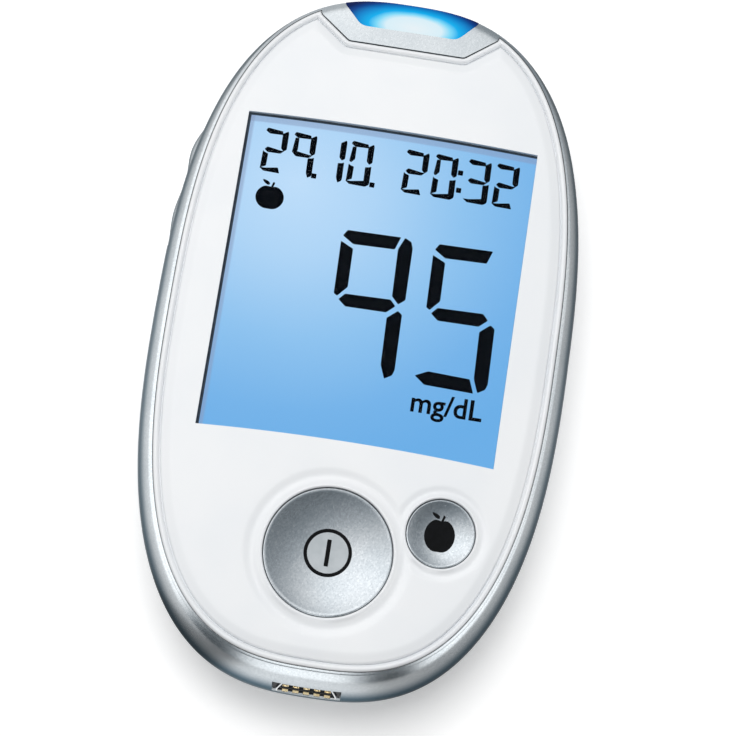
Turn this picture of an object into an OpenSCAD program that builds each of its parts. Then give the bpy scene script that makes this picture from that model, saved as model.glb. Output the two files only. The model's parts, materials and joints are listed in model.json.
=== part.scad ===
// Handheld blood glucose meter: silver two-part shell, white face plate, display, two push
// buttons, side rocker, lit strip port, data port and a hinged battery door.
// The back lies on z = 0 with its middle at the origin. +Y points to the strip port end,
// +Z out of the face.

/* [Body] */
// Length over the shell
body_l = 104.5; // [99.5:1:113.5]
// Width over the shell, without the rocker
body_w = 61.3; // [58.8:0.5:68.8]
// How far the shell swells out beyond the face's oval at its sides
side_swell = 0.4; // [0:0.1:0.6]
// How much further it swells at the low end, as a chin
chin = 1.5; // [0:0.1:2]
// Power of the oval outline: 2 is an ellipse, larger is squarer
oval_power = 2.67; // [2.5:0.01:3]
// How far the shell's widest line lies under the circuit board
widest_drop = 0.2; // [0:0.1:0.8]
// How far the joint of the shell halves lies under the circuit board
split_drop = 1.4; // [1:0.1:1.6]
// How far the rounded side draws in at the back
back_in = 11; // [8:0.5:12]
// Wall of both shell halves
shell_t = 1.8; // [1.4:0.1:2]
// Width of the lip that locates the shell halves
lip_t = 0.8; // [0.6:0.05:1]
// Height of that lip
lip_h = 1.2; // [0.8:0.1:1.4]

/* [Face plate] */
// Height of the middle of the face over the silver rim
crown_h = 1.4; // [1.2:0.1:2]
// How far the face falls away from its middle to its edge
crown_rise = 0.5; // [0.3:0.1:0.8]
// Height of the silver rim over the deck that carries the face plate
rim_h = 0.6; // [0.4:0.1:0.8]
// How far the rim lies in from the widest line
rim_in = 1.7; // [1.2:0.1:2]
// Width of the silver rim
rim_t = 0.25; // [0.2:0.05:0.4]
// Thickness of that deck
deck_t = 1.3; // [1:0.1:1.4]
// Width of the rounded bead along the edge of the face plate
bead_w = 1.6; // [1.2:0.1:2]
// Height of the bead over the rim
bead_h = 0.75; // [0.5:0.05:0.9]
// Depth of the groove inside the bead
groove_h = 0.25; // [0.1:0.05:0.4]

/* [Display] */
// From the side of the shell to the display opening
window_side = 9.25; // [9:0.05:11.4]
// Gap between the display frame and the strip connector's contacts
frame_top_gap = 0.35; // [0.2:0.05:1.2]
// Gap between the display frame and the button flanges
frame_low_gap = 0.6; // [0.4:0.05:1.6]
// Hidden edge of the pane round the opening
pane_lap = 1.4; // [1:0.1:1.6]
// Thickness of the clear pane
pane_t = 0.65; // [0.5:0.05:0.7]
// Thickness of the adhesive gasket on the pane
gasket_t = 0.15; // [0.1:0.05:0.2]
// Width of that gasket
gasket_w = 1.1; // [0.8:0.1:1.2]
// Thickness of each of the two glass sheets of the display
glass_t = 1; // [0.7:0.1:1.1]
// Length of the front sheet beyond the rear one, over the connector strip
glass_ledge = 2; // [1.6:0.1:2.2]
// Width of the glass beyond the opening on each side
glass_lap = 1.3; // [1:0.1:1.4]
// Thickness of the light guide
guide_t = 2.3; // [1.8:0.1:2.5]
// Wall of the display frame
frame_t = 0.9; // [0.7:0.1:1]

/* [Buttons] */
// Radius of the power button
power_r = 9; // [8:0.1:9.2]
// From the low end of the shell to the middle of the power button
power_end = 19.9; // [19.1:0.1:20.5]
// Radius of the marker button
marker_r = 4.75; // [4:0.05:4.9]
// How far the marker button's middle lies above the power button's
marker_rise = 5; // [4:0.1:6]
// Gap between the flanges of the two buttons
flange_space = 0.35; // [0.25:0.05:0.8]
// Travel of both buttons
button_travel = 0.5; // [0.3:0.05:0.5]
// Depth of the power button's dish
power_dish = 1.3; // [0.8:0.1:1.5]
// Depth of the marker button's dish
marker_dish = 0.9; // [0.5:0.1:1.1]
// Width of the flange that keeps a button in
flange_w = 1; // [0.8:0.1:1.2]
// Thickness of that flange
flange_t = 1; // [0.8:0.1:1.1]
// Depth of the button rim under the face plate around it
button_sink = 0.15; // [0:0.05:0.3]
// Width of a tact switch on the board
switch_w = 5.2; // [4.5:0.1:6]
// Height of a tact switch's plunger
plunger_h = 0.4; // [0.3:0.05:0.5]
// Gap between a pressed button and its switch
switch_gap = 0.1; // [0.05:0.05:0.2]

/* [Rocker] */
// Length of the side rocker along the body
rocker_l = 20.4; // [18:0.2:21]
// Height of the side rocker
rocker_h = 6.4; // [5.6:0.2:6.8]
// From the top end of the shell to the middle of the rocker
rocker_end = 32.1; // [31:0.1:34]
// How far the rocker's underside lies under the circuit board
rocker_drop = 3.2; // [3:0.1:3.4]
// Height of its two lobes
lobe_h = 0.6; // [0.3:0.05:0.8]
// How far the valley between the lobes lies behind the shell's side
rocker_sink = 0.4; // [0.1:0.05:0.5]
// Radius of the rocker's pivot pin
pin_r = 0.75; // [0.6:0.05:0.8]
// Depth of the pivot behind the shell's outline
pivot_in = 5.2; // [5:0.1:5.6]
// Turn of the rocker each way
rocker_turn = 2.5; // [2:0.25:3]
// Thickness of the rocker's face
rocker_t = 2.8; // [2.4:0.1:3]
// Length of the keeper ear at each end of the rocker
keeper_reach = 1.2; // [0.8:0.1:1.4]
// Height of the keeper ears
keeper_h = 3; // [2.6:0.1:3]
// Distance of each switch nub from the rocker's middle
nub_place = 6.5; // [5:0.1:7]
// Width and height of a switch nub
nub_w = 1.6; // [1.2:0.1:1.8]
// Width of a rocker switch on the board
side_switch_w = 3.8; // [3:0.1:4]
// Depth of a rocker switch
side_switch_l = 3.2; // [2.8:0.1:3.4]
// Height of a rocker switch
side_switch_h = 2.9; // [2.4:0.1:3]

/* [Strip port] */
// Half width of the lens on the face
lens_half_in = 7.1; // [6.2:0.1:7.6]
// Half width of the lens at the end of the shell
lens_half_out = 10.1; // [9:0.1:10.6]
// Place of the lens's inner edge along the body, from the end
lens_depth = 6; // [5.6:0.1:6.6]
// How far the lens stands proud of the shell
lens_proud = 0.05; // [0.05:0.05:0.3]
// Half width of the silver notch in the face plate at its inner edge
notch_half_in = 8.6; // [8.2:0.1:9.4]
// Half width of the notch at the rim
notch_half_out = 13.3; // [12.6:0.1:14.4]
// Length over which the notch widens
notch_flare = 3.6; // [3.2:0.1:4.2]
// Length over which the lens widens
lens_flare = 3.1; // [2.8:0.1:3.6]
// Place of the notch's inner edge, from the end
notch_depth = 8.7; // [8.3:0.1:9.6]
// Width of the strip slot
slot_w = 8.4; // [7:0.2:9]
// Height of the strip slot
slot_h = 1.2; // [1:0.1:1.4]
// Height of the slot's middle above the circuit board
slot_lift = 1.1; // [1:0.05:1.3]
// Width of the strip connector
strip_w = 14; // [12:0.5:14.5]
// Length of the strip connector
strip_l = 10.8; // [9:0.2:11]
// Height of the strip connector
strip_h = 3.7; // [3:0.1:3.9]
// Gap between the strip connector and the lens
strip_gap = 0.9; // [0.5:0.1:1.4]
// Width of a light beside the strip connector
port_led_w = 2; // [1.6:0.1:2.4]
// Length and height of that light
port_led_l = 1.4; // [1:0.1:1.6]
// Gap between that light and the connector
port_led_gap = 0.6; // [0.4:0.1:1]
// From the connector's mouth back to the middle of that light
port_led_back = 2.4; // [2:0.1:4]
// Width of one strip contact
strip_pin_w = 0.7; // [0.5:0.05:0.8]
// Thickness of one strip contact
strip_pin_t = 0.3; // [0.2:0.05:0.35]
// Length of a contact's foot behind the connector
strip_foot = 1.3; // [1:0.1:1.5]

/* [Data port] */
// Outer width of the port's metal mouth
port_w = 9.6; // [8:0.2:10]
// Outer height of the mouth
port_h = 3.2; // [2.6:0.1:3.3]
// How far the mouth's top edge lies behind its low edge, along the shell's slope
port_slope = 1.3; // [1:0.1:1.6]
// Gap between the port and the power button's flange
port_back_gap = 0.45; // [0.3:0.05:1]
// Sheet thickness of the mouth
port_t = 0.35; // [0.2:0.05:0.4]
// Number of contacts
port_contacts = 5; // [3:1:6]

/* [Cells and bay] */
// Diameter of one AAA cell
cell_d = 10.5; // [10.2:0.1:10.5]
// Length of one cell with its button
cell_l = 44.5; // [44:0.1:44.6]
// Gap between the two cells
cell_gap = 0.7; // [0.5:0.1:0.9]
// Play of a cell over the closed door
cell_play = 0.2; // [0.1:0.05:0.4]
// Length of a pressed contact spring
spring_l = 3.5; // [3:0.1:4]
// Radius of the spring wire
wire_r = 0.3; // [0.2:0.05:0.35]
// Turns of a contact spring
spring_turns = 4; // [3:1:4]
// Thickness of the contact plates
contact_t = 0.4; // [0.3:0.05:0.5]
// Wall of the battery bay
bay_wall = 1.2; // [1:0.1:1.4]
// Ceiling of the bay, under the circuit board
bay_ceiling = 0.7; // [0.6:0.05:0.8]
// Thickness of the battery door
door_t = 1.6; // [1.4:0.1:1.6]
// Depth of the door's face under the back face
door_sink = 0.2; // [0.1:0.05:0.3]
// Radius of the door's stub pins
stub_r = 0.5; // [0.4:0.05:0.55]
// Length of a stub pin
stub_l = 1.6; // [1.2:0.1:1.8]
// Height of the latch finger over the door
latch_h = 3; // [2:0.1:3.2]
// Width of the latch finger
latch_w = 9; // [6:0.5:12]
// Thickness of the latch finger
latch_t = 0.8; // [0.6:0.1:1]
// Radius of the finger scoop in the back, beside the door
scoop_r = 8; // [6:0.5:10]
// Depth of that scoop
scoop_h = 0.6; // [0.4:0.1:0.8]

/* [Circuit board and screws] */
// Thickness of the board
board_t = 1.2; // [1:0.1:1.2]
// Room between the board and the top of the deck
board_room = 5.4; // [5.3:0.1:5.8]
// How far the board lies in from the shell's outline
board_in = 6.9; // [6.7:0.1:7.2]
// From the side of the shell to the top case screws
top_screw_side = 16.65; // [16:0.05:17.4]
// From the top end of the shell to the top case screws
top_screw_end = 14; // [13.5:0.1:15]
// From the side of the shell to the low case screws
low_screw_side = 17.05; // [16.4:0.05:17.8]
// From the low end of the shell to the low case screws
low_screw_end = 14.5; // [14.1:0.1:15.1]
// Radius of a screw's shank
screw_r = 0.85; // [0.7:0.05:0.9]
// Radius of a screw's head
head_r = 1.9; // [1.6:0.1:2]
// Height of a screw's head
head_t = 1.4; // [1.1:0.1:1.6]
// How far the face on which a screw's head seats lies under the board
seat_drop = 4.8; // [4.4:0.1:5.4]
// Width of the processor
processor_w = 7.4; // [6:0.2:7.6]
// Length of the processor
processor_l = 8.4; // [7:0.2:9]
// Width of a small chip
small_chip_w = 4.2; // [3.8:0.2:5]
// Length of a small chip
small_chip_l = 5.2; // [4.6:0.2:6]
// Height of the processor
processor_h = 1.2; // [1:0.1:1.6]
// Height of a small chip
small_chip_h = 1.5; // [1.2:0.1:1.8]
// Space between the parts soldered under the board
part_space = 3; // [2:0.25:4]
// Radius of the rounded ends of the crystal's can
can_r = 1.8; // [1.6:0.1:2]
// Height of the crystal's can
can_h = 2.2; // [1.8:0.1:2.6]
// Radius of the buzzer
buzzer_r = 4.8; // [4:0.1:5]
// Height of the buzzer
buzzer_h = 2.4; // [2:0.1:2.8]

/* [Clearances] */
// Between the fixed pieces
fixed_gap = 0.1; // [0.05:0.05:0.15]
// Round each moving button
button_gap = 0.2; // [0.15:0.05:0.3]
// Round the rocker in its opening, beyond what its turn takes up
rocker_gap = 0.2; // [0.15:0.05:0.3]
// Round the battery door
door_gap = 0.25; // [0.15:0.05:0.3]
// Radial, between a turning pin and its bore
turning_fit = 0.05; // [0.02:0.01:0.08]
// Radial, between a pressed pin and its bore
pressed_fit = 0.01; // [0.01:0.01:0.02]

/* [Hidden] */

half_w = body_w / 2;
half_l = body_l / 2;
oval_w = half_w - side_swell;
oval_l = half_l - chin / 2;
oval_y = chin / 2;
outline_step = 5;
through = 1;
sunk = 0.2;

power_y = -half_l + power_end;
marker_y = power_y + marker_rise;
flanges_apart = power_r + marker_r + 2 * flange_w + flange_space;
power_at = [0, power_y];
marker_at = [sqrt(pow(flanges_apart, 2) - pow(marker_rise, 2)), marker_y];
rocker_y = half_l - rocker_end;
screw_at = [
    [half_w - top_screw_side, half_l - top_screw_end],
    [half_w - low_screw_side, -half_l + low_screw_end]
];

// Circle facets
smooth = 64;
small = 32;

// Heights, from the door and the cells up to the face plate
door_top = door_sink + door_t;
cell_r = cell_d / 2;
cell_z = door_top + cell_play + cell_r;
board_z = cell_z + cell_r + bay_ceiling + 2 * fixed_gap;
board_top = board_z + board_t;
widest_z = board_z - widest_drop;
split_z = board_z - split_drop;
deck_z = board_top + board_room;
rim_z = deck_z + rim_h;
face_z = rim_z + crown_h;
edge_in = rim_in + rim_t + fixed_gap;
bead_z = rim_z + bead_h;
groove_z = bead_z - groove_h;
crown_z = face_z - crown_rise;
land_w = 9;
pane_top = deck_z + pane_t + 0.05;
deck_under = deck_z - deck_t;
glass_top = deck_z;
glass_mid = glass_top - glass_t;
guide_top = glass_mid - glass_t;
guide_z = guide_top - guide_t;

// Strip port, from the end of the shell to the display frame
lens_y = half_l - lens_depth;
notch_y = half_l - notch_depth;
strip_y = lens_y - strip_gap - strip_l;
slot_z = board_top + slot_lift;

// Display stack, between the strip connector and the buttons
window_w = body_w - 2 * window_side;
glass_w = window_w + 2 * glass_lap;
frame_gap = fixed_gap;
frame_w = glass_w + 2 * frame_gap + 2 * frame_t;
frame_y0 = max(power_y + power_r, marker_y + marker_r) + flange_w + frame_low_gap;
frame_y1 = strip_y - strip_foot - frame_top_gap;
glass_y0 = frame_y0 + frame_t + frame_gap + glass_ledge;
glass_y1 = frame_y1 - frame_t - frame_gap;
window_y = (glass_y0 + glass_y1) / 2;
window_l = glass_y1 - glass_y0 - 2 * glass_lap;
zebra_t = glass_ledge - 2 * frame_gap;
zebra_l = 0.85 * glass_w;
led_w = 3;
led_d = 1;

// Buttons
flange_top = deck_under - fixed_gap;
flange_z = flange_top - flange_t;
stem_z = flange_z - 0.3;
stem_r = 1.9;
cap_wall = 1.2;
switch_top = stem_z - button_travel - switch_gap;

// Battery bay and door
cell_x = cell_r + cell_gap / 2;
bay_half = cell_x + cell_r + 0.45;
bay_top = board_z - fixed_gap;
bay_inner = cell_l + spring_l + 2 * contact_t;
bay_y0 = -bay_inner / 2 - 1;
bay_y1 = bay_y0 + bay_inner;
hinge_z = door_sink + door_t / 2;
hinge_y = bay_y0 - bay_wall - door_t / 2;
latch_room = 1.4;
opening_y0 = hinge_y - door_t / 2 - door_gap;
opening_y1 = bay_y1 + bay_wall + latch_room;
stub_wall = 0.9;

// Rocker
rocker_z = board_z - rocker_drop;
rocker_top = rocker_z + rocker_h;
keeper_in = rocker_t + 1;
pivot_boss_r = pin_r + turning_fit + 1;
pin_hold = 3.4;
switch_in = board_in + sunk;
nub_in = rocker_t + 2.7;
nub_z = rocker_z + 0.7;
rocker_room = 0.5;

// Data port
port_mouth_y = -half_l + 0.25;
port_z = board_top + fixed_gap;
port_l = power_y - power_r - flange_w - port_back_gap - port_mouth_y;

// Screws
boss_wall = 1;
boss_r = head_r + 0.3 + boss_wall;
pilot_r = screw_r + turning_fit;
post_r = 2.4;
seat_z = board_z - seat_drop;
screw_top = deck_under - 1.1;

// Point of the oval outline at angle t, moved in by d square to the outline
function outline_point(t, d) =
    let (
        c = cos(t), s = sin(t),
        x = oval_w * sign(c) * pow(abs(c), 2 / oval_power),
        y = oval_l * sign(s) * pow(abs(s), 2 / oval_power),
        n = outward(x, y)
    )
    [x - d * n[0], y + oval_y - d * n[1]];

// Outward direction at a point of the oval, seen from its middle
function outward(x, y) =
    let (
        nx = sign(x) * pow(abs(x / oval_w), oval_power - 1) / oval_w,
        ny = sign(y) * pow(abs(y / oval_l), oval_power - 1) / oval_l
    )
    [nx, ny] / norm([nx, ny]);

function outline(d) = [for (t = [0 : outline_step : 359]) outline_point(t, d)];

// One closed ring at height z; scale shrinks it towards the middle
function ring(d, z, scale = 1) =
    [for (p = outline(d)) [p[0] * scale, oval_y + (p[1] - oval_y) * scale, z]];

// Left edge of the outline at a place along the body, and the inward direction there
function edge_x(y) = -oval_w * pow(1 - pow(abs(y - oval_y) / oval_l, oval_power), 1 / oval_power);
function edge_turn(y) = let (n = outward(edge_x(y), y - oval_y)) -atan2(n[1], -n[0]);
function edge_point(y, d) =
    [edge_x(y) + d * cos(edge_turn(y)), y + d * sin(edge_turn(y))];

pivot_at = edge_point(rocker_y, pivot_in);

// How far the shell swells beyond the oval where its side faces that way
function swell(n) = side_swell * n[0] * n[0] + (n[1] < 0 ? chin * n[1] * n[1] : 0);
function edge_swell(y) = swell(outward(edge_x(y), y - oval_y));

// How far the shell's side lies in from the oval at height z, where it swells by s at its widest
function side_in(z, s) =
    (z < widest_z
        ? (back_in + s) * (1 - sqrt(1 - pow((widest_z - z) / widest_z, 2)))
        : (rim_in + s) * pow((z - widest_z) / (rim_z - widest_z), 2)) - s;

// Ring of the shell's outer form at height z, moved in by d
function side_ring(z, d) = [
    for (t = [0 : outline_step : 359])
        let (
            on = outline_point(t, 0),
            p = outline_point(t, d + side_in(z, swell(outward(on[0], on[1] - oval_y))))
        )
        [p[0], p[1], z]
];

// Height of the crowned face above the board, as a share of the way from the middle
function crown_at(share) = face_z - crown_rise * share * share;
function face_at(p) = crown_at(norm([p[0] / oval_w, (p[1] - oval_y) / oval_l]));

// Solid through a list of rings
module loft(rings) {
    n = len(rings[0]);
    m = len(rings);
    polyhedron(
        points = [for (r = rings) each r],
        faces = [
            [for (i = [0 : n - 1]) i],
            [for (i = [n - 1 : -1 : 0]) (m - 1) * n + i],
            for (k = [0 : m - 2], i = [0 : n - 1])
                [k * n + i, (k + 1) * n + i, k * n + (i + 1) % n],
            for (k = [0 : m - 2], i = [0 : n - 1])
                [k * n + (i + 1) % n, (k + 1) * n + i, (k + 1) * n + (i + 1) % n]
        ]
    );
}

// Heights from z0 to z1 in steps no larger than the given one
function levels(z0, z1, step) =
    let (n = ceil((z1 - z0) / step)) [for (i = [0 : n]) z0 + (z1 - z0) * i / n];

// The shell's outer form between two heights, moved in by d
module side_form(z0, z1, d, step = 1.6)
    loft([for (z = levels(z0, z1, step)) [for (p = side_ring(max(z, 0), d)) [p[0], p[1], z]]]);

// Box from its lowest corner to its highest
module block(low, high) translate(low) cube(high - low);

module at(p, z = 0) translate([p[0], p[1], z]) children();

module both_sides() {
    children();
    mirror([1, 0, 0]) children();
}

// Local frame on the left edge: x runs inwards, square to the outline
module on_edge(y, z = 0)
    translate([edge_x(y), y, z]) rotate([0, 0, edge_turn(y)]) children();

// Plan of the notch or the lens: a trapezoid that widens towards the end of the shell
module port_plan(y_in, half_in, y_out, half_out, grow = 0)
    polygon([
        [-half_in - grow, y_in - grow], [half_in + grow, y_in - grow],
        [half_out + grow, y_out], [half_out + grow, half_l + through],
        [-half_out - grow, half_l + through], [-half_out - grow, y_out]
    ]);

module notch_plan(grow = 0)
    port_plan(notch_y, notch_half_in, notch_y + notch_flare, notch_half_out, grow);

module lens_plan(grow = 0)
    port_plan(lens_y, lens_half_in, lens_y + lens_flare, lens_half_out, grow);

// Silver land that fills the notch up to the face plate
module land_form(z0, proud)
    loft([
        for (z = levels(z0, rim_z, 1.6)) side_ring(z, -proud),
        ring(rim_in + 0.9 - proud, rim_z + 0.35 + proud),
        ring(rim_in + 2.4, groove_z - 0.05 + proud),
        ring(rim_in + land_w, crown_z - 0.35 + proud)
    ]);

// Face
module fascia() color("#f3f4f6")
    difference() {
        loft([
            ring(edge_in, deck_z),
            ring(edge_in, rim_z + 0.1),
            ring(edge_in + 0.12 * bead_w, rim_z + 0.55 * bead_h),
            ring(edge_in + 0.3 * bead_w, rim_z + 0.88 * bead_h),
            ring(edge_in + 0.5 * bead_w, bead_z),
            ring(edge_in + 0.75 * bead_w, bead_z - 0.4 * groove_h),
            ring(edge_in + bead_w, groove_z),
            ring(edge_in + 1.35 * bead_w, groove_z + 0.1),
            ring(edge_in + 1.75 * bead_w, crown_at(0.92)),
            for (share = [0.85, 0.65, 0.45, 0.2]) ring(0, crown_at(share), share)
        ]);
        translate([-window_w / 2, window_y - window_l / 2, deck_z - through])
            cube([window_w, window_l, face_z]);
        pane_pocket();
        at(power_at, deck_z - through) cylinder(r = power_r + button_gap, h = face_z, $fn = smooth);
        at(marker_at, deck_z - through) cylinder(r = marker_r + button_gap, h = face_z, $fn = smooth);
        translate([0, 0, deck_z - through]) linear_extrude(face_z) notch_plan(fixed_gap);
    }

module pane_pocket()
    translate([0, window_y, deck_z - through])
        centred_block(window_w + 2 * pane_lap + 2 * fixed_gap, window_l + 2 * pane_lap + 2 * fixed_gap,
                      through + pane_top + gasket_t - deck_z);

module centred_block(w, l, h) translate([-w / 2, -l / 2, 0]) cube([w, l, h]);

module window_gasket() color("#1c2126")
    translate([0, window_y, pane_top])
        difference() {
            centred_block(window_w + 2 * pane_lap, window_l + 2 * pane_lap, gasket_t);
            translate([0, 0, -through])
                centred_block(window_w + 2 * (pane_lap - gasket_w), window_l + 2 * (pane_lap - gasket_w),
                              gasket_t + 2 * through);
        }

module display_window() color("#dfefff", 0.4)
    translate([0, window_y, pane_top - pane_t])
        centred_block(window_w + 2 * pane_lap, window_l + 2 * pane_lap, pane_t);

// Shell halves
module front_case() color("#b8c2ca")
    difference() {
        union() {
            difference() {
                side_form(split_z, rim_z, 0);
                side_form(split_z - through, deck_under, shell_t);
                side_form(split_z - through, split_z + lip_h + fixed_gap, shell_t - lip_t - fixed_gap);
                translate([0, 0, deck_z]) linear_extrude(through + rim_z)
                    polygon(outline(rim_in + rim_t));
            }
            intersection() {
                land_form(deck_z, 0);
                translate([0, 0, deck_z - through]) linear_extrude(face_z) notch_plan();
            }
            for (p = screw_at) both_sides() at(p, board_top)
                cylinder(r = post_r, h = deck_under - board_top + sunk, $fn = small);
        }
        for (p = screw_at) both_sides() at(p, board_top - through)
            cylinder(r = pilot_r, h = screw_top - board_top + through + 0.4, $fn = small);
        block([-glass_w / 2 - frame_gap, frame_y0 + frame_t, deck_under - through],
              [glass_w / 2 + frame_gap, frame_y1 - frame_t, deck_z + through]);
        at(power_at, deck_under - through)
            cylinder(r = power_r + button_gap, h = deck_t + 2 * through, $fn = smooth);
        at(marker_at, deck_under - through)
            cylinder(r = marker_r + button_gap, h = deck_t + 2 * through, $fn = smooth);
        translate([0, 0, split_z - through]) linear_extrude(face_z) lens_plan(fixed_gap);
        rocker_opening();
        port_opening();
    }

module rocker_opening() {
    reach = rocker_l / 2 + rocker_gap + (pivot_in + lobe_h + side_swell) * sin(rocker_turn);
    middle = edge_x(rocker_y);
    block([middle - 2 * through, rocker_y - reach, rocker_z - rocker_gap],
          [middle + pivot_in + through, rocker_y + reach, rocker_top + rocker_gap]);
}

module port_opening() {
    grow = fixed_gap;
    block([-port_w / 2 - grow, -half_l - through, port_z - grow],
          [port_w / 2 + grow, port_mouth_y + port_l, port_z + port_h + grow]);
}

module strip_port_lens() color("#2a8fe0")
    difference() {
        intersection() {
            land_form(split_z + fixed_gap, lens_proud);
            translate([0, 0, split_z]) linear_extrude(face_z) lens_plan();
        }
        block([-slot_w / 2, lens_y - through, slot_z - slot_h / 2],
              [slot_w / 2, half_l + through, slot_z + slot_h / 2]);
    }

module rear_case() color("#b8c2ca")
    difference() {
        union() {
            difference() {
                side_form(0, split_z, 0);
                side_form(shell_t, split_z + through, shell_t);
            }
            difference() {
                side_form(split_z - 1.6, split_z + lip_h, shell_t - lip_t);
                side_form(split_z - 2, split_z + lip_h + through, shell_t);
                translate([0, 0, split_z - through]) linear_extrude(face_z) lens_plan(fixed_gap);
            }
            bay_box();
            both_sides() block([bay_half, hinge_y - door_t / 2 - stub_wall, shell_t / 2],
                  [bay_half + stub_l + stub_wall, hinge_y + door_t / 2 + stub_wall,
                   hinge_z + stub_r + 2 * stub_wall]);
            // Bosses, which end inside the wall
            intersection() {
                side_form(shell_t / 2, board_z, shell_t / 2);
                union() {
                    for (p = screw_at) both_sides() at(p)
                        cylinder(r = boss_r, h = board_z, $fn = small);
                    at(pivot_at) cylinder(r = pivot_boss_r, h = rocker_z - rocker_gap, $fn = small);
                }
            }
        }
        block([-bay_half, opening_y0, -through], [bay_half, opening_y1, door_top + fixed_gap]);
        for (p = screw_at) both_sides() {
            at(p, -through) cylinder(r = head_r + 0.3, h = seat_z + through, $fn = small);
            at(p, seat_z - through) cylinder(r = screw_r + 0.2, h = face_z, $fn = small);
        }
        at(pivot_at, rocker_z - pin_hold) cylinder(r = pin_r + pressed_fit, h = face_z, $fn = small);
        translate([-bay_half - stub_l - fixed_gap, hinge_y, hinge_z]) rotate([0, 90, 0])
            cylinder(r = stub_r + turning_fit, h = 2 * (bay_half + stub_l + fixed_gap), $fn = small);
        translate([0, opening_y1 + 1, scoop_h - scoop_r]) sphere(r = scoop_r, $fn = smooth);
        rocker_opening();
    }

// Walls and ceiling of the battery bay, with a partition at each end of the cells
module bay_box() {
    low = shell_t / 2;
    both_sides() block([bay_half, opening_y0 - bay_wall, low],
                       [bay_half + bay_wall, opening_y1 + bay_wall, bay_top]);
    for (y = [opening_y0 - bay_wall, opening_y1])
        block([-bay_half - bay_wall, y, low], [bay_half + bay_wall, y + bay_wall, bay_top]);
    for (y = [bay_y0 - bay_wall, bay_y1])
        block([-bay_half, y, door_top + fixed_gap], [bay_half, y + bay_wall, bay_top]);
    block([-bay_half, bay_y0 - bay_wall, bay_top - bay_ceiling],
          [bay_half, bay_y1 + bay_wall, bay_top]);
}

module battery_door() color("#aeb8c0") {
    half = bay_half - door_gap;
    far = opening_y1 - door_gap;
    block([-half, hinge_y, door_sink], [half, far, door_top]);
    translate([-half, hinge_y, hinge_z]) rotate([0, 90, 0])
        cylinder(r = door_t / 2, h = 2 * half, $fn = small);
    translate([-bay_half - stub_l, hinge_y, hinge_z]) rotate([0, 90, 0])
        cylinder(r = stub_r, h = 2 * (bay_half + stub_l), $fn = small);
    // Latch finger, which bends inside the opening
    block([-latch_w / 2, far - latch_t, door_top - sunk], [latch_w / 2, far, door_top + latch_h]);
}

// Buttons
module dished_button(r, dish, top_z) {
    dish_r = (r * r + dish * dish) / (2 * dish);
    difference() {
        union() {
            translate([0, 0, flange_z]) cylinder(r = r, h = top_z - flange_z, $fn = smooth);
            translate([0, 0, flange_z]) cylinder(r = r + flange_w, h = flange_t, $fn = smooth);
        }
        translate([0, 0, top_z - dish + dish_r]) sphere(r = dish_r, $fn = smooth);
        translate([0, 0, flange_z - through])
            cylinder(r = r - cap_wall, h = flange_t + through, $fn = smooth);
    }
    translate([0, 0, stem_z]) cylinder(r = stem_r, h = flange_z + flange_t + sunk - stem_z, $fn = small);
}

module power_button() color("#a9b4bc")
    at(power_at) dished_button(power_r, power_dish, face_at(power_at) - button_sink);

module marker_button() color("#a9b4bc")
    at(marker_at) dished_button(marker_r, marker_dish, face_at(marker_at) - button_sink);

// Tact switch on the board, with its round plunger
module tact_switch() {
    body_top = switch_top - plunger_h;
    translate([0, 0, board_top]) centred_block(switch_w, switch_w, body_top - board_top);
    translate([0, 0, body_top]) cylinder(r = 0.3 * switch_w, h = plunger_h, $fn = small);
}

module power_switch() color("#3a3f44") at(power_at) tact_switch();
module marker_switch() color("#3a3f44") at(marker_at) tact_switch();

// Rocker
function lobe(y) =
    let (share = (y - rocker_y) / (rocker_l / 2)) lobe_h * pow(sin(180 * share), 2);

module side_rocker() color("#b4bec6") {
    steps = 24;
    ends = [rocker_y - rocker_l / 2, rocker_y + rocker_l / 2];
    along = [for (i = [0 : steps]) ends[0] + rocker_l * i / steps];
    difference() {
        union() {
            translate([0, 0, rocker_z]) linear_extrude(rocker_h)
                polygon([
                    for (y = along) edge_point(y, rocker_sink - edge_swell(y) - lobe(y)),
                    edge_point(ends[1], rocker_t), edge_point(ends[0], rocker_t)
                ]);
            translate([0, 0, rocker_z]) linear_extrude(keeper_h)
                polygon([
                    edge_point(ends[0] - keeper_reach, rocker_t - sunk),
                    edge_point(ends[1] + keeper_reach, rocker_t - sunk),
                    edge_point(ends[1] + keeper_reach, keeper_in),
                    edge_point(ends[0] - keeper_reach, keeper_in)
                ]);
            on_edge(rocker_y, rocker_z)
                block([rocker_t / 2, -0.8 * pivot_boss_r, 0], [pivot_in, 0.8 * pivot_boss_r, keeper_h]);
            at(pivot_at, rocker_z) cylinder(r = pivot_boss_r, h = keeper_h, $fn = small);
            for (side = [-1, 1]) on_edge(rocker_y + side * nub_place, nub_z)
                block([rocker_t / 2, -nub_w / 2, 0], [nub_in, nub_w / 2, nub_w]);
        }
        at(pivot_at, rocker_z - through)
            cylinder(r = pin_r + turning_fit, h = face_z, $fn = small);
    }
}

module rocker_pin() color("#8d9499")
    at(pivot_at, rocker_z - pin_hold)
        cylinder(r = pin_r, h = board_z - fixed_gap - rocker_z + pin_hold, $fn = small);

module rocker_switches() color("#3a3f44")
    for (side = [-1, 1]) on_edge(rocker_y + side * nub_place) {
        block([switch_in, -side_switch_w / 2, board_z - side_switch_h],
              [switch_in + side_switch_l, side_switch_w / 2, board_z]);
        block([nub_in + rocker_room, -nub_w / 2, nub_z], [switch_in + sunk, nub_w / 2, nub_z + nub_w]);
    }

// Display stack
module lcd_cell() color("#8fc1ee") {
    block([-glass_w / 2, glass_y0 - glass_ledge, glass_mid], [glass_w / 2, glass_y1, glass_top]);
    block([-glass_w / 2, glass_y0, guide_top], [glass_w / 2, glass_y1, glass_mid + 0.02]);
}

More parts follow.
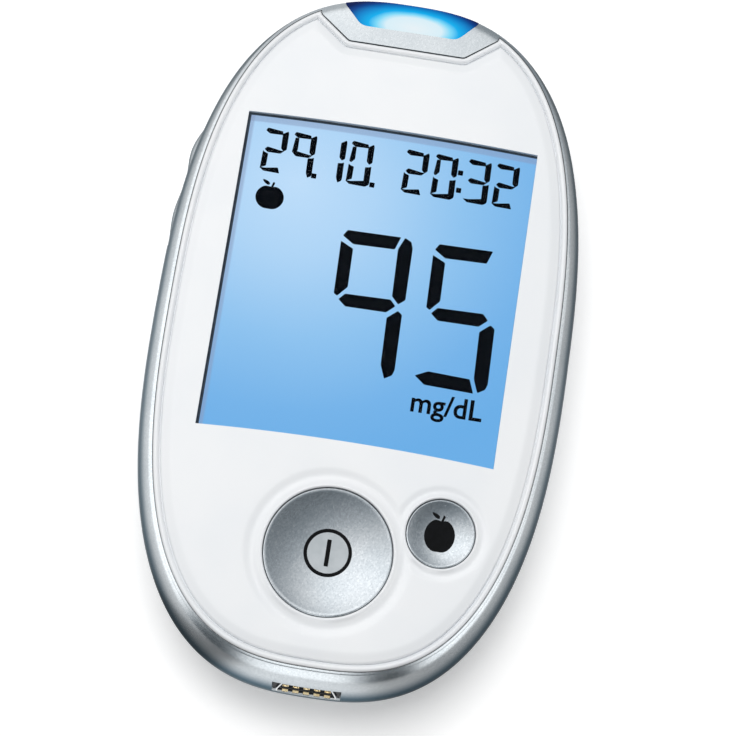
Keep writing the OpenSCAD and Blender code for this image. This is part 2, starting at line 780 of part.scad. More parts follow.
module lcd_frame() color("#e8ebee")
    difference() {
        block([-frame_w / 2, frame_y0, board_top], [frame_w / 2, frame_y1, deck_under]);
        block([-glass_w / 2 - frame_gap, frame_y0 + frame_t, guide_z],
              [glass_w / 2 + frame_gap, frame_y1 - frame_t, deck_z]);
        zebra_space(frame_gap);
        for (side = [-1, 1]) led_space(side, frame_gap);
    }

module zebra_space(grow)
    block([-zebra_l / 2 - grow, frame_y0 + frame_t + frame_gap - grow, board_top],
          [zebra_l / 2 + grow, frame_y0 + frame_t + frame_gap + zebra_t + grow, glass_mid]);

module lcd_connector() color("#d77a8a") zebra_space(0);

module led_space(side, grow)
    translate([side * window_w / 4, frame_y1 - frame_t - frame_gap - led_d / 2, board_top])
        centred_block(led_w + 2 * grow, led_d + 2 * grow, guide_top - board_top - 0.2);

module backlight_leds() color("#f2e7a0") for (side = [-1, 1]) led_space(side, 0);

module light_guide() color("#eaf4ff")
    block([-window_w / 2 - 0.6, window_y - window_l / 2 - 0.6, guide_z],
          [window_w / 2 + 0.6, frame_y1 - frame_t - frame_gap - led_d - fixed_gap, guide_top]);

// Circuit board with what is soldered to it
module circuit_board() color("#1e6b3c")
    difference() {
        translate([0, 0, board_z]) linear_extrude(board_t) polygon(outline(board_in));
        for (p = screw_at) both_sides() at(p, board_z - through)
            cylinder(r = screw_r + 0.35, h = board_t + 2 * through, $fn = small);
    }

leg_out = 0.85;
leg_t = 0.25;

module chip(place, w, l, h, legs)
    at(place, board_z - h) {
        centred_block(w, l, h);
        pitch = l / (legs + 1);
        for (i = [1 : legs]) translate([0, i * pitch - l / 2, h - leg_t])
            centred_block(w + 2 * leg_out, pitch / 2, leg_t);
    }

// Chips and crystal stand beside the battery bay, the buzzer beyond its end
chip_x = bay_half + bay_wall + 1 + leg_out + processor_w / 2;
analogue_y = (processor_l + small_chip_l) / 2 + part_space;
crystal_y = -processor_l / 2 - part_space - can_r;

module processor_chip() color("#23262a") chip([chip_x, 0], processor_w, processor_l, processor_h, 12);
module analogue_chip() color("#23262a")
    chip([chip_x, analogue_y], small_chip_w, small_chip_l, small_chip_h, 4);
module memory_chip() color("#23262a") chip([-chip_x, 0], small_chip_w, small_chip_l, small_chip_h, 4);

module crystal() color("#c4c9cd")
    at([chip_x, crystal_y], board_z - can_h) {
        can_half = 1.2 * can_r;
        for (side = [-1, 1]) translate([side * can_half, 0, 0])
            cylinder(r = can_r, h = can_h, $fn = small);
        centred_block(2 * can_half, 2 * can_r, can_h);
    }

module buzzer() color("#2b2f33")
    at([0, opening_y1 + bay_wall + part_space + buzzer_r], board_z - buzzer_h)
        difference() {
            cylinder(r = buzzer_r, h = buzzer_h, $fn = smooth);
            translate([0, 0, -through])
                cylinder(r = buzzer_r / 6, h = through + 0.6 * buzzer_h, $fn = small);
        }

// Strip port
module strip_connector() color("#22262b")
    difference() {
        block([-strip_w / 2, strip_y, board_top], [strip_w / 2, strip_y + strip_l, board_top + strip_h]);
        block([-slot_w / 2, strip_y + 2.2, slot_z - slot_h / 2],
              [slot_w / 2, strip_y + strip_l + through, slot_z + slot_h / 2]);
        for (x = strip_pin_x) strip_pin_space(x);
    }

strip_pin_x = [for (i = [-1.5 : 1 : 1.5]) i * slot_w / 4.6];
strip_roof = slot_z + slot_h / 2;
strip_mouth = 2.6;

// Groove in the connector's roof that holds one contact
module strip_pin_space(x)
    block([x - strip_pin_w / 2, strip_y, strip_roof - 0.05],
          [x + strip_pin_w / 2, strip_y + strip_l - strip_mouth, strip_roof + strip_pin_t]);

module strip_contacts() color("#d9b04a")
    for (x = strip_pin_x) {
        strip_pin_space(x);
        block([x - strip_pin_w / 2, strip_y - strip_pin_t, board_top],
              [x + strip_pin_w / 2, strip_y, strip_roof + strip_pin_t]);
        block([x - strip_pin_w / 2, strip_y - strip_foot, board_top],
              [x + strip_pin_w / 2, strip_y - strip_pin_t / 2, board_top + strip_pin_t]);
    }

module port_leds() color("#7fd0ff")
    both_sides()
        at([(strip_w + port_led_w) / 2 + port_led_gap, strip_y + strip_l - port_led_back], board_top)
        centred_block(port_led_w, port_led_l, port_led_l);

// Data port
module data_port_shell() color("#c9cdd0")
    difference() {
        block([-port_w / 2, port_mouth_y, port_z], [port_w / 2, port_mouth_y + port_l, port_z + port_h]);
        port_slant();
        block([-port_w / 2 + port_t, port_mouth_y - through, port_z + port_t],
              [port_w / 2 - port_t, port_mouth_y + port_l - port_t, port_z + port_h - port_t]);
    }

// What the slanted mouth leaves free in front of its side walls and its top
module port_slant()
    translate([-port_w / 2 - through, 0, port_z]) rotate([90, 0, 90]) linear_extrude(port_w + 2 * through)
        polygon([
            [port_mouth_y - through, port_t], [port_mouth_y, port_t],
            [port_mouth_y + port_slope, port_h + fixed_gap], [port_mouth_y - through, port_h + fixed_gap]
        ]);

tongue_half = port_w / 2 - port_t - 0.7;
tongue_t = 0.8;
tongue_z = port_z + port_t + 0.3;
tongue_in = 0.45;
port_back_y = port_mouth_y + port_l - port_t;

module data_port_tongue() color("#17191c") {
    block([-port_w / 2 + port_t, port_back_y - 1.4, port_z + port_t],
          [port_w / 2 - port_t, port_back_y, port_z + port_h - port_t]);
    block([-tongue_half, port_mouth_y + tongue_in, tongue_z],
          [tongue_half, port_back_y - 1.2, tongue_z + tongue_t]);
}

module data_port_contacts() color("#d9b04a")
    for (i = [0 : port_contacts - 1]) {
        pitch = 2 * tongue_half / port_contacts;
        x = -tongue_half + (i + 0.5) * pitch;
        block([x - 0.28 * pitch, port_mouth_y + tongue_in + sunk, tongue_z + tongue_t],
              [x + 0.28 * pitch, port_back_y - 1.4, tongue_z + tongue_t + 0.2]);
    }

// Cells and their contacts
module cell(x, y_flat, way) {
    button_r = 1.9;
    button_h = 1;
    translate([x, y_flat, cell_z]) rotate([-90 * way, 0, 0]) {
        cylinder(r = cell_r, h = cell_l - button_h, $fn = smooth);
        cylinder(r = button_r, h = cell_l, $fn = small);
    }
}

left_flat_y = bay_y0 + contact_t + spring_l;
right_flat_y = bay_y1 - contact_t - spring_l;

module battery_cell_left() color("#3f7fae") cell(-cell_x, left_flat_y, 1);
module battery_cell_right() color("#3f7fae") cell(cell_x, right_flat_y, -1);

// Conical coil spring along +Y, swept as one tube
module coil(length, r_wide, r_narrow, turns) {
    per_turn = 14;
    sides = 8;
    rings = per_turn * turns;
    run = length - 2 * wire_r - 0.1;
    loft([
        for (k = [0 : rings])
            let (t = 360 * k / per_turn, f = k / rings, r = r_wide + (r_narrow - r_wide) * f)
            [for (j = [0 : sides - 1])
                let (a = 360 * j / sides, q = r + wire_r * cos(a))
                [q * cos(t), wire_r + 0.05 + run * f + wire_r * sin(a), q * sin(t)]]
    ]);
}

plate_half = cell_r - 0.6;

module contact_plate(x0, x1, y)
    block([x0, y, cell_z - plate_half], [x1, y + contact_t, cell_z + plate_half]);

module contact_spring(x, y, way)
    translate([x, y, cell_z]) rotate([0, 0, way > 0 ? 0 : 180]) coil(spring_l, 3.8, 2.6, spring_turns);

module negative_terminal() color("#c4c9cd") {
    contact_plate(-cell_x - plate_half, -cell_x + plate_half, bay_y0);
    contact_spring(-cell_x, bay_y0 + contact_t, 1);
}

module positive_terminal() color("#c4c9cd")
    contact_plate(cell_x - plate_half, cell_x + plate_half, bay_y0);

module bridge_terminal() color("#c4c9cd") {
    contact_plate(-cell_x - plate_half, cell_x + plate_half, bay_y1 - contact_t);
    contact_spring(cell_x, bay_y1 - contact_t, -1);
}

// Case screws, with a cross recess in each head
module case_screws() color("#6d7276")
    for (p = screw_at) both_sides() at(p, seat_z)
        difference() {
            union() {
                translate([0, 0, -head_t]) cylinder(r = head_r, h = head_t, $fn = small);
                cylinder(r = screw_r, h = screw_top - seat_z, $fn = small);
            }
            for (turn = [0, 90]) rotate([0, 0, turn])
                translate([0, 0, -head_t - through])
                    centred_block(0.5, 2 * head_r - 1.2, through + 0.7);
        }

fascia();
window_gasket();
display_window();
front_case();
strip_port_lens();
power_button();
marker_button();
side_rocker();
rocker_pin();
lcd_cell();
lcd_frame();
light_guide();
backlight_leds();
lcd_connector();
circuit_board();
power_switch();
marker_switch();
rocker_switches();
strip_connector();
strip_contacts();
port_leds();
data_port_shell();
data_port_tongue();
data_port_contacts();
processor_chip();
analogue_chip();
memory_chip();
crystal();
buzzer();
battery_cell_left();
battery_cell_right();
negative_terminal();
positive_terminal();
bridge_terminal();
rear_case();
battery_door();
case_screws();
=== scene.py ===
import json
import math

import bmesh
import bpy
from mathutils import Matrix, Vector
from mathutils.geometry import delaunay_2d_cdt


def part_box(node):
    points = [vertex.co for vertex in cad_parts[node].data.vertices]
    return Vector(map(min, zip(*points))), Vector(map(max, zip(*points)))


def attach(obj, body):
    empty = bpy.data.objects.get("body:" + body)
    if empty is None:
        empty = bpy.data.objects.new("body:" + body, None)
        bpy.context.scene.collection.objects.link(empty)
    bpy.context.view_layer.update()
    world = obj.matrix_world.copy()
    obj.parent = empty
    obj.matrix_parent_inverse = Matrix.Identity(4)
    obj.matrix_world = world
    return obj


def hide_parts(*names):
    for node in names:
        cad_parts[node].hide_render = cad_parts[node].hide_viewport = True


# Handheld blood glucose meter. Sizes are in millimetres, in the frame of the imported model:
# back on z = 0, +Y towards the strip port, +Z out of the face.
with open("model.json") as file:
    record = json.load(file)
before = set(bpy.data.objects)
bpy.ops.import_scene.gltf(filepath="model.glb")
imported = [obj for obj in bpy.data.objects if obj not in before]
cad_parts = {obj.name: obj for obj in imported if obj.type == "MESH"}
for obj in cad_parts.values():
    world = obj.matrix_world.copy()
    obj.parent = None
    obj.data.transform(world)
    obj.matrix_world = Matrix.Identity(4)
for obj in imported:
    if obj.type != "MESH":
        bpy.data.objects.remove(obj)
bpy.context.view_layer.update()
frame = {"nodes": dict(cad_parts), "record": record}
nodes = frame["nodes"]
scene = bpy.context.scene
mm = 0.001
print("frame loaded:", len(nodes), "nodes")


# Meshes

def toMesh(work, name):
    mesh = bpy.data.meshes.new(name)
    work.to_mesh(mesh)
    work.free()
    return mesh


def cleanMesh(piece, sharpAt=30):
    work = bmesh.new()
    work.from_mesh(piece.data)
    bmesh.ops.remove_doubles(work, verts=work.verts, dist=1e-7)
    bmesh.ops.dissolve_degenerate(work, edges=work.edges, dist=1e-8)
    bmesh.ops.recalc_face_normals(work, faces=work.faces)
    work.to_mesh(piece.data)
    work.free()
    piece.data.shade_smooth()
    piece.data.set_sharp_from_angle(angle=math.radians(sharpAt))


def newPiece(name, mesh, sharpAt=30):
    piece = bpy.data.objects.new(name, mesh)
    scene.collection.objects.link(piece)
    cleanMesh(piece, sharpAt)
    return piece


def addPiece(name, verts, faces, sharpAt=30):
    mesh = bpy.data.meshes.new(name)
    mesh.from_pydata([[c * mm for c in v] for v in verts], [], faces)
    return newPiece(name, mesh, sharpAt)


def ringFaces(count, rows):
    # Quads between closed rows of count points each
    faces = []
    for k in range(rows - 1):
        for i in range(count):
            j = (i + 1) % count
            faces.append([k * count + i, k * count + j, (k + 1) * count + j, (k + 1) * count + i])
    return faces


def loft(name, rings, sharpAt=30):
    count = len(rings[0])
    verts = [p for ring in rings for p in ring]
    ends = [list(range(count))[::-1], [(len(rings) - 1) * count + i for i in range(count)]]
    return addPiece(name, verts, ends + ringFaces(count, len(rings)), sharpAt)


def prism(name, plan, low, high):
    return loft(name, [[(x, y, z) for x, y in plan] for z in (low, high)])


def barAlongX(name, plan, low, high):
    return loft(name, [[(x, y, z) for y, z in plan] for x in (low, high)])


def barAlongY(name, plan, low, high):
    return loft(name, [[(x, y, z) for x, z in plan] for y in (low, high)])


def rectPlan(low, high):
    return [(low[0], low[1]), (high[0], low[1]), (high[0], high[1]), (low[0], high[1])]


def box(name, low, high):
    return prism(name, rectPlan(low, high), low[2], high[2])


def revolve(name, profile, centre=(0, 0), steps=128, sharpAt=30):
    verts, faces, rows = [], [], []
    for r, z in profile:
        count = steps if r else 1
        rows.append([len(verts) + i % count for i in range(steps)])
        verts += [(x, y, z) for x, y in circlePlan(r, centre, count)]
    for a, b in zip(rows, rows[1:]):
        for i in range(steps):
            j = (i + 1) % steps
            corners = list(dict.fromkeys((a[i], a[j], b[j], b[i])))
            if len(corners) > 2:
                faces.append(corners)
    return addPiece(name, verts, faces, sharpAt)


def shapeWith(piece, others, how="DIFFERENCE", sharpAt=30):
    for other in others:
        step = piece.modifiers.new(other.name, "BOOLEAN")
        step.operation, step.solver, step.object = how, "EXACT", other
    bpy.context.view_layer.update()
    graph = bpy.context.evaluated_depsgraph_get()
    piece.data = bpy.data.meshes.new_from_object(piece.evaluated_get(graph))
    piece.modifiers.clear()
    for other in others:
        bpy.data.objects.remove(other)
    cleanMesh(piece, sharpAt)
    return piece


def joinPieces(name, parts):
    whole = bmesh.new()
    for part in parts:
        whole.from_mesh(part.data)
        bpy.data.objects.remove(part)
    return newPiece(name, toMesh(whole, name))


def extrudeSheet(work):
    # Doubles a sheet of faces into a closed form and gives the points of its new side
    grown = bmesh.ops.extrude_face_region(work, geom=list(work.faces), use_keep_orig=True)
    return [item for item in grown["geom"] if isinstance(item, bmesh.types.BMVert)]


def roundedPlan(halfW, halfL, radius, centre=(0, 0), steps=8):
    plan = []
    for k, (sx, sy) in enumerate(((1, -1), (1, 1), (-1, 1), (-1, -1))):
        for i in range(steps + 1):
            a = math.radians(-90 + 90 * k + 90 * i / steps)
            plan.append((centre[0] + sx * (halfW - radius) + radius * math.cos(a),
                         centre[1] + sy * (halfL - radius) + radius * math.sin(a)))
    return plan


def circlePlan(radius, centre=(0, 0), steps=96):
    return [(centre[0] + radius * math.cos(2 * math.pi * i / steps),
             centre[1] + radius * math.sin(2 * math.pi * i / steps)) for i in range(steps)]


def insidePlan(x, y, plan):
    inside = False
    for (ax, ay), (bx, by) in zip(plan, plan[1:] + plan[:1]):
        if (ay > y) != (by > y) and x < (bx - ax) * (y - ay) / (by - ay) + ax:
            inside = not inside
    return inside


def fillPlan(outer, holes, extra):
    # Triangles between a loop and its holes, through the extra points
    points, edges = [], []
    for plan in [outer] + holes:
        start = len(points)
        points += [Vector(p) for p in plan]
        edges += [(start + i, start + (i + 1) % len(plan)) for i in range(len(plan))]
    points += [Vector(p) for p in extra]
    verts, _, faces, _, _, _ = delaunay_2d_cdt(points, edges, [], 1, 1e-6)
    kept = []
    for face in faces:
        x = sum(verts[i].x for i in face) / len(face)
        y = sum(verts[i].y for i in face) / len(face)
        if not any(insidePlan(x, y, hole) for hole in holes):
            kept.append(list(face))
    return [(v.x, v.y) for v in verts], kept


def curveAt(points, at):
    # Smooth curve through (place, height) points
    last = len(points) - 1
    if at <= points[0][0]:
        return points[0][1]
    if at >= points[last][0]:
        return points[last][1]
    k = max(i for i in range(last) if points[i][0] <= at)
    (x0, y0), (x1, y1) = points[k], points[k + 1]
    def slope(i):
        a, b = points[max(i - 1, 0)], points[min(i + 1, last)]
        return (b[1] - a[1]) / (b[0] - a[0])
    t, w = (at - x0) / (x1 - x0), x1 - x0
    return ((2 * t ** 3 - 3 * t ** 2 + 1) * y0 + (t ** 3 - 2 * t ** 2 + t) * w * slope(k)
            + (3 * t ** 2 - 2 * t ** 3) * y1 + (t ** 3 - t ** 2) * w * slope(k + 1))


# Outline of the body, a squared oval

body = {
    "halfW": 30.25, "halfL": 51.5, "middleY": 0.75, "squareness": 2.67, "sideSwell": 0.4, "chin": 1.5,
    "tuck": 0.3, "roundness": 0.9, "dome": 0.96,
    "widestZ": 13.2, "splitZ": 12.0, "deckUnder": 18.7, "deckZ": 20.0, "rimZ": 20.6, "faceZ": 21.86,
    "crownDrop": 0.5, "rimIn": 1.7, "backIn": 11.0, "wall": 1.8, "boardZ": 13.4, "boardTop": 14.6,
}
halfW, halfL, middleY, squareness = (body[k] for k in ("halfW", "halfL", "middleY", "squareness"))


def outward(x, y):
    # Outward direction at a point of the oval
    y = y - middleY
    nx = math.copysign(abs(x / halfW) ** (squareness - 1), x) / halfW
    ny = math.copysign(abs(y / halfL) ** (squareness - 1), y) / halfL
    size = math.hypot(nx, ny)
    return nx / size, ny / size


def ovalPoint(turn, inset=0):
    c, s = math.cos(turn), math.sin(turn)
    x = halfW * math.copysign(abs(c) ** (2 / squareness), c)
    y = middleY + halfL * math.copysign(abs(s) ** (2 / squareness), s)
    nx, ny = outward(x, y)
    return x - inset * nx, y - inset * ny


def runOf(points):
    # Length of a path up to each of its points
    run = [0]
    for a, b in zip(points, points[1:]):
        run.append(run[-1] + math.dist(a, b))
    return run


def evenTurns(first, last, count, fine=1200):
    # Turns that stand evenly along the outline
    turns = [first + (last - first) * i / fine for i in range(fine + 1)]
    run = runOf([ovalPoint(t) for t in turns])
    result, k = [], 0
    for i in range(count + 1):
        want = run[-1] * i / count
        while k < fine - 1 and run[k + 1] < want:
            k += 1
        share = (want - run[k]) / (run[k + 1] - run[k])
        result.append(turns[k] + (turns[k + 1] - turns[k]) * share)
    return result


bodyTurns = evenTurns(0, 2 * math.pi, 320, 4000)[:-1]
bodyFrames = [(*ovalPoint(t), *outward(*ovalPoint(t))) for t in bodyTurns]


def bodyRing(inset, z):
    return [(x - inset * nx, y - inset * ny, z) for x, y, nx, ny in bodyFrames]


def smoothStep(low, high, at):
    t = max(0, min(1, (at - low) / (high - low)))
    return t * t * (3 - 2 * t)


def swellAt(nx, ny):
    # How far the shell swells beyond the oval: a little at its sides, more at its chin, and it
    # tucks in towards the strip end
    if ny < 0:
        return body["sideSwell"] * nx * nx + body["chin"] * ny * ny
    return body["sideSwell"] * nx * nx - body["tuck"] * smoothStep(-0.05, 0.3, ny)


def sideIn(z, nx, ny):
    # How far the side lies in from the oval at a height. The shoulder above the widest line is
    # round along the sides and the chin, and flatter at the strip end
    widest, rim, swell = body["widestZ"], body["rimZ"], swellAt(nx, ny)
    if z < widest:
        share = 1 - math.sqrt(max(0, 1 - ((widest - z) / widest) ** 2))
        return (body["backIn"] + swell) * share - swell
    share = min(1, (z - widest) / (rim - widest))
    flat, dome = share ** 2, body["dome"]
    full = (1 - math.sqrt(1 - (dome * share) ** 2)) / (1 - math.sqrt(1 - dome ** 2))
    part = smoothStep(0.75, 0.2, ny) * body["roundness"]
    return (body["rimIn"] + swell) * (flat * (1 - part) + full * part) - swell


def sideRing(z, inset=0.0):
    ring = []
    for x, y, nx, ny in bodyFrames:
        move = sideIn(z, nx, ny) + inset
        ring.append((x - move * nx, y - move * ny, z))
    return ring


def levels(low, high, step):
    count = math.ceil((high - low) / step)
    return [low + (high - low) * i / count for i in range(count + 1)]


def sideBarrel(name, inset, low, high, step):
    # What lies inside the side at that inset, between two heights
    return loft(name, [sideRing(z, inset) for z in levels(low, high, step)])


def shoulderLevels(low, count=30):
    # Heights from the seam to the rim, closer together where the shoulder turns over
    widest, rim = body["widestZ"], body["rimZ"]
    turned = [math.sin(math.pi / 2 * i / count) for i in range(count + 1)]
    return levels(low, widest, 0.4)[:-1] + [widest + (rim - widest) * s for s in turned]


def leftEdge(y, inward=0):
    # Point on the left of the oval, moved square to it
    x = -halfW * (1 - abs((y - middleY) / halfL) ** squareness) ** (1 / squareness)
    nx, ny = outward(x, y)
    return x - inward * nx, y - inward * ny


# Notch at the strip end, which the face plate leaves free

notch = {"innerY": 43.55, "innerHalf": 8.6, "flareY": 47.15, "flareHalf": 13.3, "cornerR": 0.8}


def notchCorners():
    # Centres of its two rounded corners on the right, and the turn of the slanted side
    run, rise = notch["flareHalf"] - notch["innerHalf"], notch["flareY"] - notch["innerY"]
    size, r = math.hypot(run, rise), notch["cornerR"]
    nx, ny = rise / size, -run / size
    y = notch["innerY"] + r
    x = notch["innerHalf"] - r * (1 + ny) / nx
    x2 = notch["flareHalf"] - r
    y2 = y + (x2 - x) * rise / run
    return (x, y), (x2, y2), math.atan2(ny, nx)


def notchPath(grow, steps=10):
    # Right half of its edge, grown outwards, from the middle
    (ax, ay), (bx, by), slant = notchCorners()
    r = notch["cornerR"] + grow
    path = [(ax * i / steps, ay - r) for i in range(steps)]
    for x, y, first, last in ((ax, ay, -math.pi / 2, slant), (bx, by, slant, 0)):
        for i in range(steps + 1):
            a = first + (last - first) * i / steps
            path.append((x + r * math.cos(a), y + r * math.sin(a)))
    return path + [(bx + r, by + 4 * i / steps) for i in range(1, 3 * steps)]


def notchGap(x, y):
    # Distance from its rounded edge
    (ax, ay), (bx, by), slant = notchCorners()
    x, nearest = abs(x), 1e9
    for (px, py), (qx, qy) in (((-ax, ay), (ax, ay)), ((ax, ay), (bx, by)), ((bx, by), (bx, by + 20))):
        dx, dy = qx - px, qy - py
        t = max(0, min(1, ((x - px) * dx + (y - py) * dy) / (dx * dx + dy * dy)))
        nearest = min(nearest, math.hypot(x - px - t * dx, y - py - t * dy))
    inside = y > ay and x < bx and (x - ax) * math.cos(slant) + (y - ay) * math.sin(slant) < 0
    return (-nearest if inside else nearest) - notch["cornerR"]


def plateLoop(inset, grow, ovalCount=340, notchCount=90):
    # Oval at that inset with the grown notch taken out, from the notch's left end round the body
    low, high = 0.5, math.pi / 2
    for _ in range(40):
        middle = (low + high) / 2
        if notchGap(*ovalPoint(middle, inset)) > grow:
            low = middle
        else:
            high = middle
    end = ovalPoint(low, inset)
    loop = [ovalPoint(t, inset) for t in evenTurns(math.pi - low, 2 * math.pi + low, ovalCount)]
    path = notchPath(grow)
    last = min(range(1, len(path)), key=lambda i: math.dist(path[i], end))
    while last > 1 and path[last][1] > end[1]:
        last -= 1
    path = path[:last + 1] + [end]
    run = runOf(path)
    half = [(0, path[0][1])]
    for i in range(1, notchCount // 2):
        want = run[-1] * i / (notchCount // 2)
        k = max(j for j in range(len(run) - 1) if run[j] <= want)
        share = (want - run[k]) / (run[k + 1] - run[k])
        half.append(tuple(a + (b - a) * share for a, b in zip(path[k], path[k + 1])))
    return loop + half[::-1] + [(-x, y) for x, y in half[1:]]


# Materials

def toLinear(text):
    values = [int(text[i:i + 2], 16) / 255 for i in (1, 3, 5)]
    return [v / 12.92 if v <= 0.04045 else ((v + 0.055) / 1.055) ** 2.4 for v in values] + [1]


def setPoints(points, wanted, *start):
    while len(points) < len(wanted):
        points.new(*start)
    return zip(points, wanted)


def setNode(tree, node, settings):
    # Each setting is a property, an input by its name or number, or the points of a ramp or a curve.
    # An output as value gets linked
    for key, value in settings.items():
        if key == "color_ramp":
            node.color_ramp.interpolation, stops = value
            for stop, (place, colour) in setPoints(node.color_ramp.elements, stops, 0.5):
                stop.position, stop.color = place, toLinear(colour)
        elif key == "mapping":
            for point, place in setPoints(node.mapping.curves[0].points, value, 0.5, 0.5):
                point.location = place
            node.mapping.update()
        elif isinstance(value, bpy.types.NodeSocket):
            tree.links.new(value, node.inputs[key])
        elif isinstance(key, int) or key in node.inputs:
            node.inputs[key].default_value = value
        else:
            setattr(node, key, value)
    return node


def addNode(tree, kind, settings):
    return setNode(tree, tree.nodes.new("ShaderNode" + kind), settings)


# The Mix node has inputs A and B and a result for each kind of value, told apart by number only
numberA, numberB, numberOut = 2, 3, 0
colourA, colourB, colourOut = 6, 7, 2


def newMaterial(name):
    material = bpy.data.materials.new(name)
    material.use_nodes = True
    tree = material.node_tree
    return material, tree, tree.nodes["Principled BSDF"], addNode(tree, "TexCoord", {}).outputs


plainInputs = {"metallic": "Metallic", "ior": "IOR", "specular": "Specular IOR Level", "coat": "Coat Weight",
               "coatRoughness": "Coat Roughness", "glow": "Emission Strength"}


def plainSettings(look):
    return {socket: look[key] for key, socket in plainInputs.items() if key in look}


def finish(name, look):
    # A moulded, painted, plated or etched surface: two close tones in soft patches, a fine grain in
    # the gloss and in the bump, and optional flakes
    material, tree, shader, coords = newMaterial(name)
    grid = addNode(tree, "Mapping", {"Scale": look.get("stretch", (1, 1, 1)),
                                     "Vector": coords["Object"]}).outputs["Vector"]
    patches, grain = (addNode(tree, "TexNoise", {"Vector": grid, "Scale": 1 / (look[size] * mm),
                                                 "Detail": detail}).outputs["Fac"]
                      for size, detail in (("patchMm", 2.0), ("grainMm", 3.0)))
    colour = addNode(tree, "ValToRGB", {"Fac": patches, "color_ramp": ("EASE", [
        (0.3, look["tones"][0]), (0.7, look["tones"][1])])}).outputs["Color"]
    if "flakeMm" in look:
        cell = addNode(tree, "TexVoronoi", {"Scale": 1 / (look["flakeMm"] * mm), "Vector": grid})
        tone = addNode(tree, "ValToRGB", {"Fac": cell.outputs["Color"], "color_ramp": ("EASE", [
            (0.0, look["flakes"][0]), (0.5, look["tones"][0]), (1.0, look["flakes"][1])])}).outputs["Color"]
        colour = addNode(tree, "Mix", {"data_type": "RGBA", 0: look["flakeShare"], colourA: colour,
                                       colourB: tone}).outputs[colourOut]
    if "flankShadeTone" in look:
        # Painted shade: the lacquer's colour turns darker on the upright flanks, by how far the surface turns
        # from facing up or down
        facing = addNode(tree, "SeparateXYZ", {"Vector": coords["Normal"]}).outputs
        level = addNode(tree, "Math", {"operation": "ABSOLUTE", 0: facing["Z"]}).outputs[0]
        thick = addNode(tree, "MapRange", {
            "interpolation_type": "SMOOTHSTEP", "Value": level, "From Min": look["flankShadeAt"][0],
            "From Max": look["flankShadeAt"][1]}).outputs["Result"]
        colour = addNode(tree, "Mix", {"data_type": "RGBA", 0: thick, colourA: toLinear(look["flankShadeTone"]),
                                       colourB: colour}).outputs[colourOut]
    swing = look.get("swing", 0.04)
    gloss = addNode(tree, "MapRange", {"Value": grain, "To Min": look["roughness"] - swing,
                                       "To Max": look["roughness"] + swing}).outputs["Result"]
    bump = addNode(tree, "Bump", {"Strength": 0.3, "Distance": look["bumpMm"] * mm, "Height": grain})
    setNode(tree, shader, {"Base Color": colour, "Roughness": gloss, "Normal": bump.outputs["Normal"],
                           **plainSettings(look)})
    if "edgeTint" in look:
        # Metal flakes lie flat, so the lacquer darkens where it is seen at a slant
        setNode(tree, shader, {"Specular Tint": toLinear(look["edgeTint"])})
    if "glow" in look:
        setNode(tree, shader, {"Emission Color": colour})
    return material


